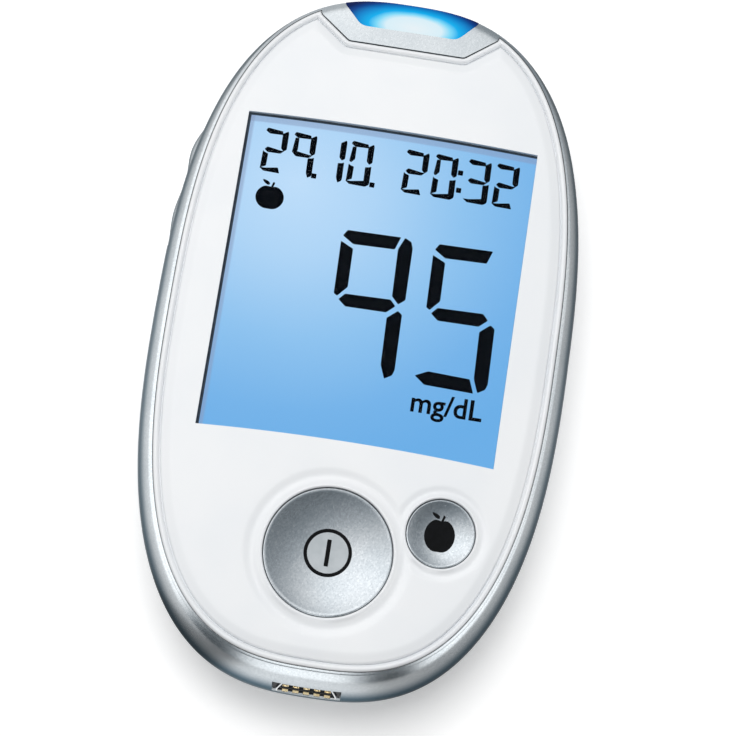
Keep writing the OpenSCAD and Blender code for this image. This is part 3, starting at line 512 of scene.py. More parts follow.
finishes = {
    # White gloss ABS, moulded and polished: an even white with a clear soft reflection
    "glossWhiteAbs": {"tones": ("#EDF0F3", "#F1F3F5"), "patchMm": 14, "grainMm": 0.5, "bumpMm": 0.001,
                      "roughness": 0.16, "swing": 0.02, "ior": 1.52, "coat": 0.3, "coatRoughness": 0.08},
    # Silver lacquer on ABS, sprayed: satin metallic with fine flakes. The flakes are 0.03 mm and are
    # drawn at 0.2 mm so that they show
    "silverLacquer": {"tones": ("#C0C6CA", "#CACFD2"), "patchMm": 9, "grainMm": 0.25, "bumpMm": 0.003,
                      "roughness": 0.24, "swing": 0.04, "metallic": 1.0, "edgeTint": "#8A9398", "coat": 0.05,
                      "coatRoughness": 0.18, "flakeMm": 0.2, "flakes": ("#9BA3A9", "#E8ECEE"),
                      # The flank tone is painted shade on the upright flanks
                      "flakeShare": 0.2, "flankShadeTone": "#77858F", "flankShadeAt": (0.16, 0.52)},
    # The same lacquer on the keys, a little coarser
    "keyLacquer": {"tones": ("#BFC6CB", "#C9CED2"), "patchMm": 6, "grainMm": 0.25, "bumpMm": 0.004,
                   "roughness": 0.25, "swing": 0.05, "metallic": 1.0, "edgeTint": "#66707A", "coat": 0.03,
                   "coatRoughness": 0.2, "flakeMm": 0.22, "flakes": ("#8D979F", "#EEF2F4"),
                   "flakeShare": 0.27},
    # Black foam gasket, die cut: matt, open cells of about 0.15 mm; where it shows by the window it is
    # painted shade
    "foamGasketShade": {"tones": ("#2B333D", "#38424D"), "patchMm": 3, "grainMm": 0.15, "bumpMm": 0.03,
                   "roughness": 0.9},
    # Black glass-filled nylon, moulded: matt with a fine spark-eroded texture
    "blackNylon": {"tones": ("#17191C", "#1E2125"), "patchMm": 4, "grainMm": 0.2, "bumpMm": 0.01,
                   "roughness": 0.55, "ior": 1.53},
    # Phenolic moulding of the small switches: dark grey, dull
    "switchPhenolic": {"tones": ("#2C3034", "#363B40"), "patchMm": 3, "grainMm": 0.2, "bumpMm": 0.01,
                       "roughness": 0.6, "ior": 1.55},
    # Stainless steel, turned: grey metal with fine rings of drawing
    "turnedSteel": {"tones": ("#8E9194", "#A0A3A6"), "patchMm": 1.5, "grainMm": 0.15, "bumpMm": 0.005,
                    "roughness": 0.3, "metallic": 1.0},
    # Nickel-plated sheet, pressed: bright with faint rolling lines
    "nickelSheet": {"tones": ("#C3C6C8", "#D3D6D7"), "patchMm": 2.5, "grainMm": 0.3, "bumpMm": 0.004,
                    "roughness": 0.22, "metallic": 1.0, "stretch": (1, 6, 1)},
    # Nickel-plated spring steel, wound and pressed
    "springSteel": {"tones": ("#BFC2C4", "#CCCFD1"), "patchMm": 2, "grainMm": 0.2, "bumpMm": 0.004,
                    "roughness": 0.26, "metallic": 1.0},
    # Gold flash over nickel on the contacts
    "goldFlash": {"tones": ("#D8C090", "#EAD9B2"), "patchMm": 1, "grainMm": 0.15, "bumpMm": 0.003,
                  "roughness": 0.24, "metallic": 1.0},
    # White polycarbonate of the display frame, moulded: matt and slightly milky
    "framePolycarbonate": {"tones": ("#E2E6EA", "#EBEEF1"), "patchMm": 6, "grainMm": 0.3, "bumpMm": 0.006,
                           "roughness": 0.5, "ior": 1.58},
    # Light guide of cast acrylic: clear to white, polished
    "guideAcrylic": {"tones": ("#E6F1FA", "#F0F7FD"), "patchMm": 8, "grainMm": 0.4, "bumpMm": 0.002,
                     "roughness": 0.12, "ior": 1.49},
    # Phosphor and lens of the display's white lights
    "phosphorWhite": {"tones": ("#EFE9B8", "#F6F1CC"), "patchMm": 1, "grainMm": 0.1, "bumpMm": 0.004,
                      "roughness": 0.4, "ior": 1.5},
    # Conductive silicone strip: layers 0.1 mm thick, drawn at 0.25 mm so that they show
    "layeredSilicone": {"tones": ("#B8606E", "#DE9AA5"), "patchMm": 0.25, "grainMm": 0.2, "bumpMm": 0.01,
                        "roughness": 0.7, "ior": 1.42, "stretch": (1, 0.05, 0.05)},
    # Epoxy-glass board under green solder mask: glossy, with the weave of the glass showing
    "solderMask": {"tones": ("#14532F", "#1C6A3C"), "patchMm": 0.8, "grainMm": 0.4, "bumpMm": 0.01,
                   "roughness": 0.28, "ior": 1.55},
    # Blue die and clear lens of the port lights
    "blueDiode": {"tones": ("#6FC4F5", "#A8DEFB"), "patchMm": 0.8, "grainMm": 0.1, "bumpMm": 0.003,
                  "roughness": 0.2, "ior": 1.5, "glow": 0.6},
    # Moulding compound of the chips: black epoxy with a fine matt grain
    "chipEpoxy": {"tones": ("#1B1D20", "#232629"), "patchMm": 2, "grainMm": 0.15, "bumpMm": 0.01,
                  "roughness": 0.62, "ior": 1.57},
    # Printed film round a dry cell, shrunk on: satin blue
    "cellFilm": {"tones": ("#2F6790", "#3A769F"), "patchMm": 5, "grainMm": 0.4, "bumpMm": 0.006,
                 "roughness": 0.3, "metallic": 0.3, "coat": 0.3, "coatRoughness": 0.08},
    # Silk-screen ink on the keys: black, matt, thin
    "keyInk": {"tones": ("#060708", "#0C0D0F"), "patchMm": 1, "grainMm": 0.15, "bumpMm": 0.002,
               "roughness": 0.7, "ior": 1.5, "specular": 0.15},
    # Pale grey ink inside the ring of the power sign
    "paleInk": {"tones": ("#B4BBBF", "#BEC4C8"), "patchMm": 1.5, "grainMm": 0.15, "bumpMm": 0.002,
                "roughness": 0.45, "ior": 1.5},
    # Liquid crystal that is switched on: near black with a trace of blue. It lies between panes of
    # its own index, so it has no gloss
    "darkCrystal": {"tones": ("#04060A", "#080B10"), "patchMm": 2, "grainMm": 0.3, "bumpMm": 0.0005,
                    "roughness": 0.6, "ior": 1.5, "specular": 0.0},
}
slotFinish = {
    "button_silver": "keyLacquer", "silver_paint": "silverLacquer", "black_plastic": "blackNylon",
    "switch_black": "switchPhenolic", "steel": "turnedSteel", "nickel_sheet": "nickelSheet",
    "spring_steel": "springSteel", "gold_plate": "goldFlash", "frame_white": "framePolycarbonate",
    "acrylic": "guideAcrylic", "led_white": "phosphorWhite", "zebra_rubber": "layeredSilicone",
    "board_green": "solderMask", "led_blue": "blueDiode", "chip_epoxy": "chipEpoxy",
    "cell_jacket": "cellFilm", "face_white": "glossWhiteAbs", "lcd_glass": "litDisplay",
    "clear_pane": "windowAcrylic",
}
materials = {name: finish(name, look) for name, look in finishes.items()}


def litPanel(name, look):
    # A surface lit from behind: its light falls off from one spot, in real distances
    material, tree, shader, coords = newMaterial(name)
    place = coords["Object"]
    spot, reach = ([c * mm for c in look[key]] for key in ("spot", "reach"))
    moved = addNode(tree, "Mapping", {"vector_type": "TEXTURE", "Location": (*spot, 0),
                                      "Scale": (*reach, 1e6), "Vector": place}).outputs["Vector"]
    far = addNode(tree, "VectorMath", {"operation": "LENGTH", 0: moved}).outputs["Value"]
    clouds = addNode(tree, "TexNoise", {"Vector": place, "Scale": 1 / (look["cloudMm"] * mm),
                                        "Detail": 2.0}).outputs["Fac"]
    blur = addNode(tree, "MapRange", {"Value": clouds, "To Min": -look["cloud"],
                                      "To Max": look["cloud"]}).outputs["Result"]
    far = addNode(tree, "Math", {"operation": "ADD", 0: far, 1: blur}).outputs[0]
    colour = addNode(tree, "ValToRGB", {"Fac": far,
                                        "color_ramp": ("LINEAR", look["stops"])}).outputs["Color"]
    if "edges" in look:
        # Shade of the opening's own edge, which lies above; its top edge is arched
        parts = addNode(tree, "SeparateXYZ", {"Vector": place}).outputs
        square = addNode(tree, "Math", {"operation": "MULTIPLY", 0: parts["X"], 1: parts["X"]}).outputs[0]
        bent = addNode(tree, "Math", {"operation": "MULTIPLY_ADD", 0: square, 1: look["arch"] / mm,
                                      2: parts["Y"]}).outputs[0]
        for axis, sign, edge, width, soft in look["edges"]:
            near = addNode(tree, "MapRange", {
                "interpolation_type": "SMOOTHSTEP", "Value": bent if axis == "Y" else parts[axis],
                "From Min": (edge - sign * width) * mm, "From Max": (edge - sign * (width - soft)) * mm,
                "To Max": look["edgeShade"]}).outputs["Result"]
            colour = addNode(tree, "Mix", {"data_type": "RGBA", 0: near, colourA: colour,
                                           colourB: toLinear(look["edgeTone"])}).outputs[colourOut]
    setNode(tree, shader, {"Emission Color": colour, "Base Color": toLinear(look["base"]),
                           "Roughness": look["roughness"], **plainSettings(look)})
    return material


# Reflective display with a blue backlight: brightest by the lamps, upper left
materials["litDisplay"] = litPanel("litDisplay", {
    "spot": (-13, 20.8), "reach": (46, 42), "cloudMm": 16, "cloud": 0.03,
    "stops": [(0.0, "#C4E1FA"), (0.25, "#B4D8F6"), (0.55, "#93C6EF"), (0.8, "#79B6E9"), (1.0, "#6FB1E7")],
    "edges": [("X", -1, -21.2, 0.9, 0.4), ("Y", 1, 30.1, 0.62, 0.35)], "arch": 0.001, "edgeShade": 0.55,
    "edgeTone": "#8E9CBC", "glow": 1.0, "base": "#05080C", "roughness": 0.2, "ior": 1.5, "specular": 0.0})
# Clear blue acrylic lens over the port lights: white at the lamps, navy at its far corners
materials["litLens"] = litPanel("litLens", {
    "spot": (0.6, 46.9), "reach": (11.2, 4.3), "cloudMm": 3, "cloud": 0.03,
    "stops": [(0.0, "#E6F0F4"), (0.38, "#D8EEF6"), (0.5, "#7CD8F6"), (0.6, "#04AEEC"), (0.76, "#0280C8"),
              (0.9, "#063F88"), (1.0, "#0B1B50")],
    "glow": 1.0, "base": "#020A1C", "roughness": 0.12, "ior": 1.49, "specular": 0.1})


def clearPane(name, look):
    # It takes nothing from the light and reflects a little by its angle
    material, tree, shader, coords = newMaterial(name)
    tree.nodes.remove(shader)
    waves = addNode(tree, "TexNoise", {"Vector": coords["Object"], "Scale": 1 / (look["waveMm"] * mm),
                                       "Detail": 1.0}).outputs["Fac"]
    bump = addNode(tree, "Bump", {"Strength": 0.1, "Distance": look["bumpMm"] * mm, "Height": waves})
    normal = bump.outputs["Normal"]
    fresnel = addNode(tree, "Fresnel", {"IOR": look["ior"], "Normal": normal}).outputs["Fac"]
    clear = addNode(tree, "BsdfTransparent", {"Color": toLinear(look["tint"])})
    shine = addNode(tree, "BsdfGlossy", {"Roughness": look["roughness"], "Normal": normal})
    share = addNode(tree, "Math", {"operation": "MULTIPLY", 0: fresnel, 1: look["hardCoat"]}).outputs[0]
    mix = addNode(tree, "MixShader", {0: share, 1: clear.outputs["BSDF"], 2: shine.outputs["BSDF"]})
    tree.links.new(mix.outputs["Shader"], tree.nodes["Material Output"].inputs["Surface"])
    return material


# Acrylic window with an anti-reflection hard coat
materials["windowAcrylic"] = clearPane("windowAcrylic", {
    "waveMm": 6, "bumpMm": 0.002, "ior": 1.49, "hardCoat": 0.06, "roughness": 0.04, "tint": "#FBFDFF"})


def dress(piece, material, bodyName="root", replaced=()):
    piece.data.materials.clear()
    piece.data.materials.append(materials[material])
    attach(piece, bodyName)
    if replaced:
        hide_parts(*replaced)
    print(piece.name, "made:", len(piece.data.polygons), "faces")


for row in frame["record"]["subparts"]:
    for materialSlot in nodes[row["node"]].material_slots:
        name = slotFinish.get(row["material_slot"])
        if name:
            materialSlot.material = materials[name]
print("materials made:", len(materials))


# Face plate

def cadBox(node):
    low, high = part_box(node)
    return [c / mm for c in low], [c / mm for c in high]


def cadMiddle(node):
    low, high = cadBox(node)
    return (low[0] + high[0]) / 2, (low[1] + high[1]) / 2


paneLap, fitGap = 1.4, 0.1
keyGap, capGrow = 0.2, 0.14   # room round a key in the solids, and how much of it the cap fills
paneLow, paneHigh = cadBox("display_window")
gasketTop = cadBox("window_gasket")[1][2]
window = {"halfW": paneHigh[0] - paneLap, "lowY": paneLow[1] + paneLap, "highY": paneHigh[1] - paneLap,
          "topArch": 0.45, "lowRise": 0.25, "lowArch": 0.65}
power = {"at": cadMiddle("power_button"), "r": 9.0, "topZ": cadBox("power_button")[1][2], "dish": 1.3,
         "lipAt": 0.3, "lipW": 0.55, "lipH": 0.17, "moatAt": 1.6, "moatW": 1.35, "moatH": 0.24,
         "fillet": 0.22, "steps": 144, "giveWay": 0.0}
marker = {"at": cadMiddle("marker_button"), "r": 4.75, "topZ": cadBox("marker_button")[1][2], "dish": 0.74,
          "lipAt": 0.26, "lipW": 0.45, "lipH": 0.13, "moatAt": 1.05, "moatW": 0.9, "moatH": 0.17,
          "fillet": 0.2, "steps": 96, "giveWay": 0.04}
plate = {"edgeIn": 2.17, "notchGap": 0.06, "pocketGap": 0.08, "bottom": 20.02,
         "edge": [(0, 0.12), (0.05, 0.3), (0.13, 0.45), (0.26, 0.58), (0.42, 0.63), (0.6, 0.6), (0.74, 0.48),
                  (0.86, 0.28), (0.97, 0.2), (1.07, 0.28), (1.18, 0.48), (1.32, 0.6)],
         "slotAt": 0.97, "slotW": 0.15, "slotDeep": 0.3, "rampFrom": 0.97, "rampTo": 2.7,
         "rings": [0, 0.03, 0.07, 0.12, 0.18, 0.25, 0.33, 0.42, 0.51, 0.6, 0.69, 0.77, 0.83, 0.88, 0.894,
                   0.897, 1.043, 1.046, 1.08, 1.18, 1.3, 1.45, 1.6, 1.78, 1.96, 2.16, 2.36, 2.56, 2.76,
                   3.0, 3.4],
         # Points on its middle: rings that follow the relief round the keys, and a net elsewhere
         "keyRings": [0.02, 0.06, 0.11, 0.17, 0.23, 0.3, 0.4, 0.52, 0.66, 0.82, 1.0, 1.2, 1.42, 1.66, 1.9,
                      2.15, 2.4, 2.7, 3.0, 3.4],
         "ringClear": 0.25, "past": 0.3, "net": 2.1, "netClear": 0.9}


def crownAt(x, y):
    y = y - middleY
    share = (abs(x / halfW) ** squareness + abs(y / halfL) ** squareness) ** (2 / squareness)
    return body["faceZ"] - body["crownDrop"] * share


def hump(place, middle, half):
    return (1 + math.cos(math.pi * (place - middle) / half)) / 2 if abs(place - middle) < half else 0


def keyRelief(x, y):
    lip, moat, fillet = 0, 0, 0
    for key in (power, marker):
        out = math.dist((x, y), key["at"]) - key["r"] - keyGap
        lip = max(lip, key["lipH"] * hump(out, key["lipAt"], key["lipW"]))
        moat = max(moat, key["moatH"] * hump(out, key["moatAt"], key["moatW"]))
        if out < key["fillet"]:
            side = key["fillet"] - max(out, 0)
            fillet = key["fillet"] - math.sqrt(max(0, key["fillet"] ** 2 - side ** 2))
    return lip - moat - fillet


def faceHeight(x, y, inset=9):
    high = crownAt(x, y) + keyRelief(x, y)
    if inset >= plate["rampTo"]:
        return high
    low = body["rimZ"] + curveAt(plate["edge"], inset)
    if abs(inset - plate["slotAt"]) < plate["slotW"] / 2:
        low -= plate["slotDeep"]
    share = max(0, (inset - plate["rampFrom"]) / (plate["rampTo"] - plate["rampFrom"]))
    share = share * share * (3 - 2 * share)
    return low + (high - low) * share


def sillEdge(x, top):
    # The opening's upper and lower edges arch a little across its width
    share = (x / window["halfW"]) ** 2
    if top:
        return window["highY"] - window["topArch"] * share
    return window["lowY"] + window["lowRise"] - window["lowArch"] * share


def sillPlan(half=12, up=20):
    # The display opening, from its lower left corner round
    w = window["halfW"]
    low, high = sillEdge(w, False), sillEdge(w, True)
    across = [w * (i / half - 1) for i in range(2 * half)]
    plan = [(x, sillEdge(x, False)) for x in across]
    plan += [(w, low + (high - low) * i / up) for i in range(up)]
    plan += [(-x, sillEdge(-x, True)) for x in across]
    return plan + [(-w, high + (low - high) * i / up) for i in range(up)]


def reliefEnd(key):
    return key["moatAt"] + key["moatW"] + plate["past"]


def platePoints(inner):
    spots, step, edge = [], plate["net"], plate["netClear"]
    for key, other in ((power, marker), (marker, power)):
        for out in [o for o in plate["keyRings"] if o < reliefEnd(key)]:
            for spot in circlePlan(key["r"] + keyGap + out, key["at"], key["steps"]):
                fromOther = math.dist(spot, other["at"]) - (other["r"] + keyGap)
                if fromOther > out + key["giveWay"] and insidePlan(*spot, inner):
                    if min(math.dist(spot, p) for p in inner) > plate["ringClear"]:
                        spots.append(spot)
    for x in (i * step for i in range(-14, 15)):
        for y in (j * step for j in range(-25, 26)):
            byKey = any(math.dist((x, y), key["at"]) <= key["r"] + keyGap + reliefEnd(key)
                        for key in (power, marker))
            byWindow = abs(x) < window["halfW"] + edge and window["lowY"] - edge < y < window["highY"] + edge
            if not byKey and not byWindow and insidePlan(x, y, inner):
                if min(math.dist((x, y), p) for p in inner) > edge:
                    spots.append((x, y))
    return spots


def makeFacePlate():
    rings = []
    for inset in plate["rings"]:
        loop = plateLoop(plate["edgeIn"] + inset, plate["notchGap"] + inset)
        rings.append([(x, y, faceHeight(x, y, inset)) for x, y in loop])
    verts = [p for ring in rings for p in ring]
    faces = ringFaces(len(rings[0]), len(rings))
    inner = [(x, y) for x, y, z in rings[-1]]
    holes = [sillPlan()] + [circlePlan(key["r"] + keyGap, key["at"], key["steps"]) for key in (power, marker)]
    flat, tris = fillPlan(inner, holes, platePoints(inner))
    faces += [[len(verts) + i for i in face] for face in tris]
    verts += [(x, y, faceHeight(x, y)) for x, y in flat]
    work = bmesh.new()
    made = [work.verts.new([c * mm for c in v]) for v in verts]
    for face in faces:
        work.faces.new([made[i] for i in face])
    bmesh.ops.remove_doubles(work, verts=work.verts, dist=2e-7)
    bmesh.ops.recalc_face_normals(work, faces=work.faces)
    for vert in extrudeSheet(work):
        vert.co.z = plate["bottom"] * mm
    pocket = box("pocket", (paneLow[0] - fitGap, paneLow[1] - fitGap, body["deckZ"] - 1),
                 (paneHigh[0] + fitGap, paneHigh[1] + fitGap, gasketTop))
    return shapeWith(newPiece("facePlate", toMesh(work, "facePlate")), [pocket])


dress(makeFacePlate(), "glossWhiteAbs", "root", ["fascia"])


# Shell

screwPosts = {"r": 2.4, "pilotR": 0.9, "headR": 2.2, "shankR": 1.05, "bossR": 3.2, "seatZ": 8.6,
              "topZ": 17.6, "bossLow": 1.6, "shankZ": (5, 14), "fromEnd": 1.9, "upperX": 14.0, "lowerX": 13.6}
screwLow, screwHigh = cadBox("case_screws")
screwSpots = [(side * x, y) for x, y in ((screwPosts["upperX"], screwHigh[1] - screwPosts["fromEnd"]),
                                         (screwPosts["lowerX"], screwLow[1] + screwPosts["fromEnd"]))
              for side in (-1, 1)]
seamGroove = 0.28   # the shell halves meet in a fine V
seamLip = {"in": 0.9, "high": 1.3, "gap": 0.1, "deep": 1.6}
rockerLow, rockerHigh = cadBox("side_rocker")
rocker = {"middleY": 20.15, "length": 20.4, "low": rockerLow[2], "high": rockerHigh[2], "thick": 2.8,
          "lobe": 0.6, "crests": (0.3, 0.62), "valley": 0.05, "rise": 0.12, "pivotIn": 5.2, "turn": 2.5,
          "gap": 0.2, "edgeR": 2.4, "tipR": 0.5, "earH": 3.0, "earReach": 1.2, "earLap": 0.2, "earPast": 1.0,
          "pivotR": 1.8, "pivotZ": 3.0, "pinR": 0.8, "pinTight": 0.04, "pinDeep": 3.4, "pinTop": 14,
          "nubAt": 6.5, "nubW": 1.6, "nubIn": 5.5, "nubUp": 0.7, "lugFrom": 1.4, "steps": 48, "rowSteps": 12}
portLow, portHigh = cadBox("data_port_shell")


def moveIn(y, z, inward):
    x, newY = leftEdge(y, inward)
    return x, newY, z


def rockerCut():
    reach = rocker["length"] / 2 + rocker["gap"]
    reach += (rocker["pivotIn"] + rocker["lobe"] + body["sideSwell"]) * math.sin(math.radians(rocker["turn"]))
    x = leftEdge(rocker["middleY"])[0]
    return box("rockerCut", (x - 3, rocker["middleY"] - reach, rocker["low"] - rocker["gap"]),
               (x + rocker["pivotIn"] + 1, rocker["middleY"] + reach, rocker["high"] + rocker["gap"]))


def bendCorners(plan, radius, steps=6):
    # Rounds every corner of a plan
    bent = []
    for k, corner in enumerate(plan):
        ends = []
        for other in (plan[k - 1], plan[(k + 1) % len(plan)]):
            size = math.dist(corner, other)
            cut = min(radius, size / 2.01)
            ends.append((corner[0] + (other[0] - corner[0]) * cut / size,
                         corner[1] + (other[1] - corner[1]) * cut / size))
        for i in range(steps + 1):
            t = i / steps
            bent.append(tuple((1 - t) ** 2 * a + 2 * t * (1 - t) * c + t * t * b
                              for a, c, b in zip(ends[0], corner, ends[1])))
    return bent


lens = {"innerY": 46.25, "innerHalf": 7.1, "flareY": 49.35, "flareHalf": 10.1, "farY": 54, "proud": 0.05,
        "slotW": 8.4, "slotLow": 15.1, "slotHigh": 16.3, "slotEnd": 60, "cornerR": 0.9}


def lensPlan(grow=0.0):
    a, b, far = lens["innerHalf"] + grow, lens["flareHalf"] + grow, lens["farY"]
    y, y2 = lens["innerY"] - grow, lens["flareY"]
    return bendCorners([(-a, y), (a, y), (b, y2), (b, far), (-b, far), (-b, y2)], lens["cornerR"])


# The land inside the rim, as (inset, height)
landSteps = [(1.9, 20.68), (2.1, 20.79), (2.35, 20.88), (2.7, 20.96), (3.2, 21.01), (4.1, 21.05),
             (7.0, 21.1), (10.7, 21.15)]


def topForm(name, low, proud=0.0):
    # Side, rim and the land that fills the notch, as one closed form
    rim = body["rimZ"]
    rings = [sideRing(z, -proud) for z in shoulderLevels(low)]
    rings.append(bodyRing(body["rimIn"] + 0.08 - proud, rim + 0.015 + proud))
    rings += [bodyRing(inset - proud, z + proud) for inset, z in landSteps]
    return loft(name, rings)


def postsAt(name, r, low, high, steps=24):
    return [prism(name, circlePlan(r, at, steps), low, high) for at in screwSpots]


def makeFrontShell():
    split, rim, wall, under = (body[k] for k in ("splitZ", "rimZ", "wall", "deckUnder"))
    shell = topForm("frontShell", split + seamGroove)
    foot = loft("foot", [sideRing(split, seamGroove), sideRing(split + seamGroove + 0.001, 0.0)])
    shapeWith(shell, [foot], "UNION")
    glassLow, glassHigh = cadBox("lcd_cell")
    cuts = [prism("pocket", plateLoop(plate["edgeIn"] - plate["pocketGap"], 0.0), body["deckZ"], rim + 4),
            sideBarrel("hollow", wall, split - 1, under, 0.9),
            sideBarrel("lipRoom", wall - seamLip["in"], split - 1, split + seamLip["high"], 0.6),
            box("glassRoom", (glassLow[0] - fitGap, glassLow[1] - fitGap, under - 1),
                (glassHigh[0] + fitGap, glassHigh[1] + fitGap, rim))]
    for key in (power, marker):
        cuts.append(prism("keyHole", circlePlan(key["r"] + keyGap, key["at"]), under - 1, rim))
    cuts.append(prism("lensRoom", lensPlan(fitGap), split - 1, rim + 4))
    cuts.append(rockerCut())
    cuts.append(box("portRoom", (portLow[0] - fitGap, portLow[1] - 3, portLow[2] - fitGap),
                    (portHigh[0] + fitGap, portHigh[1], portHigh[2] + fitGap)))
    shapeWith(shell, cuts)
    shapeWith(shell, postsAt("post", screwPosts["r"], body["boardTop"], under + 0.2, 32), "UNION")
    return shapeWith(shell, postsAt("pilot", screwPosts["pilotR"], body["boardTop"] - 1,
                                    screwPosts["topZ"] + 0.4))


dress(makeFrontShell(), "silverLacquer", "root", ["front_case"])

doorLow, doorHigh = cadBox("battery_door")
bay = {"halfW": 11.3, "wall": 1.2, "lap": 0.5, "doorGap": 0.25, "rimZ": 1.9, "top": 13.3, "ceiling": 0.7,
       "cellsY0": -25.4, "cellsY1": 23.4, "cellsUnder": 2.9, "hingeY": -27.4, "hingeZ": 1.0, "stubR": 0.5,
       "stubL": 1.6, "stubWall": 0.9, "blockHalf": 1.7, "blockTop": 3.3}
scoop = {"r": 8.0, "depth": 0.6, "y": 27.0, "steps": 60}
soundHoles = {"y": 37.2, "pitch": 2.2, "r": 0.55, "count": 5}
drainCount = 24   # rings of the round between the back and the seam


def bayWalls():
    low, high, half, t = body["wall"] / 2, bay["top"], bay["halfW"], bay["wall"]
    y0, y1 = doorLow[1] - bay["doorGap"], doorHigh[1] + bay["doorGap"]
    wide, hingeY = half + bay["lap"], bay["hingeY"]
    walls = []
    for side in (-1, 1):
        x0, x1 = sorted((side * half, side * (half + t)))
        walls.append(box("bayWall", (x0, y0 - t, low), (x1, y1 + t, high)))
        x0, x1 = sorted((side * half, side * (half + bay["stubL"] + bay["stubWall"])))
        walls.append(box("stubBlock", (x0, hingeY - bay["blockHalf"], low),
                         (x1, hingeY + bay["blockHalf"], bay["blockTop"])))
    for y in (y0 - t, y1):
        walls.append(box("bayEnd", (-wide, y, low), (wide, y + t, high)))
    for y in (bay["cellsY0"] - t, bay["cellsY1"]):
        walls.append(box("cellEnd", (-wide, y, doorHigh[2] - bay["cellsUnder"]), (wide, y + t, high)))
    walls.append(box("bayRoof", (-wide, bay["cellsY0"] - t, high - bay["ceiling"]),
                     (wide, bay["cellsY1"] + t, high)))
    return walls


def makeRearShell():
    split, wall, widest, half = body["splitZ"], body["wall"], body["widestZ"], bay["halfW"]
    lastTurn = math.asin((widest - split + seamGroove) / widest)
    rings = []
    for i in range(drainCount + 1):
        a = math.pi / 2 + (lastTurn - math.pi / 2) * i / drainCount
        rings.append(sideRing(widest * (1 - math.sin(a)) if i else 0.0))
    shell = loft("rearShell", rings + [sideRing(split, seamGroove)])
    shapeWith(shell, [sideBarrel("hollow", wall, wall, split + 1, 0.8)])
    lipIn, lipHigh = seamLip["in"] - seamLip["gap"], seamLip["high"] - seamLip["gap"]
    lip = sideBarrel("lip", wall - lipIn, split - seamLip["deep"], split + lipHigh, 0.7)
    shapeWith(lip, [sideBarrel("lipHollow", wall, split - 2, split + lipHigh + 1, 0.7),
                    prism("lensRoom", lensPlan(fitGap), split, split + 4)])
    pivot = leftEdge(rocker["middleY"], rocker["pivotIn"])
    walls = bayWalls() + postsAt("boss", screwPosts["bossR"], screwPosts["bossLow"], body["boardZ"], 32)
    walls.append(prism("pivotBoss", circlePlan(rocker["pivotR"], pivot, 32), rocker["pivotZ"],
                       rocker["low"] - rocker["gap"]))
    shapeWith(shell, [lip] + walls, "UNION")
    cuts = [box("doorRoom", (-half, doorLow[1] - bay["doorGap"], -1),
                (half, doorHigh[1] + bay["doorGap"], bay["rimZ"])), rockerCut()]
    heads = postsAt("headRoom", screwPosts["headR"], -1, screwPosts["seatZ"], 40)
    shanks = postsAt("shankRoom", screwPosts["shankR"], *screwPosts["shankZ"])
    cuts += [cut for pair in zip(heads, shanks) for cut in pair]
    cuts.append(prism("pinRoom", circlePlan(rocker["pinR"] - rocker["pinTight"], pivot, 24),
                      rocker["low"] - rocker["pinDeep"], rocker["pinTop"]))
    turns = [math.radians(-90 + 180 * i / scoop["steps"]) for i in range(scoop["steps"] + 1)]
    ball = [(scoop["r"] * math.cos(a), scoop["depth"] - scoop["r"] + scoop["r"] * math.sin(a)) for a in turns]
    ball[0], ball[-1] = (0, ball[0][1]), (0, ball[-1][1])
    cuts.append(revolve("scoop", ball, (0, scoop["y"])))
    reach = half + bay["stubL"] + fitGap
    stubPlan = circlePlan(bay["stubR"] + 0.05, (bay["hingeY"], bay["hingeZ"]), 24)
    cuts.append(barAlongX("stubRoom", stubPlan, -reach, reach))
    for i in range(soundHoles["count"]):
        x = (i - (soundHoles["count"] - 1) / 2) * soundHoles["pitch"]
        cuts.append(prism("soundHole", circlePlan(soundHoles["r"], (x, soundHoles["y"]), 24), -1, 4))
    return shapeWith(shell, cuts)


dress(makeRearShell(), "silverLacquer", "root", ["rear_case"])


# Keys

keyForm = {"flangeZ": 17.6, "flangeT": 1.0, "flangeW": 1.0, "wall": 1.2, "stemR": 1.9, "stemEdge": 0.15,
           "edgeW": 0.2, "edgeH": 0.3, "edgeSteps": 7, "dishSteps": 24, "steps": 144, "sharpAt": 32}


def dishLevel(key, out):
    # Height of a key's dished top at a distance from its middle
    dish, r = key["dish"], key["r"]
    ballR = (r * r + dish * dish) / (2 * dish)
    return key["topZ"] - dish + ballR - math.sqrt(ballR ** 2 - out ** 2)


def makeKey(name, key, node):
    r, stemR, stemEdge, edgeW = key["r"], keyForm["stemR"], keyForm["stemEdge"], keyForm["edgeW"]
    low, flangeLow = cadBox(node)[0][2], keyForm["flangeZ"]
    flangeTop, inner, outer = flangeLow + keyForm["flangeT"], r - keyForm["wall"], r + keyForm["flangeW"]
    cap = r + capGrow
    crest, side = cap - edgeW, key["topZ"] - keyForm["edgeH"]
    profile = [(0, low), (stemR - stemEdge, low), (stemR, low + stemEdge), (stemR, flangeTop),
               (inner, flangeTop), (inner, flangeLow), (outer, flangeLow), (outer, flangeTop),
               (cap, flangeTop), (cap, side)]
    for i in range(1, keyForm["edgeSteps"]):
        a = math.radians(90 * i / keyForm["edgeSteps"])
        profile.append((crest + edgeW * math.cos(a), side + (dishLevel(key, crest) - side) * math.sin(a)))
    for i in range(keyForm["dishSteps"] + 1):
        out = crest * (1 - i / keyForm["dishSteps"])
        profile.append((out, dishLevel(key, out)))
    return revolve(name, profile, key["at"], keyForm["steps"], keyForm["sharpAt"])


for name, key, node in (("powerKey", power, "power_button"), ("markerKey", marker, "marker_button")):
    dress(makeKey(name, key, node), "keyLacquer", node, [node])


# Marks printed on the keys and etched in the display: thin closed sheets

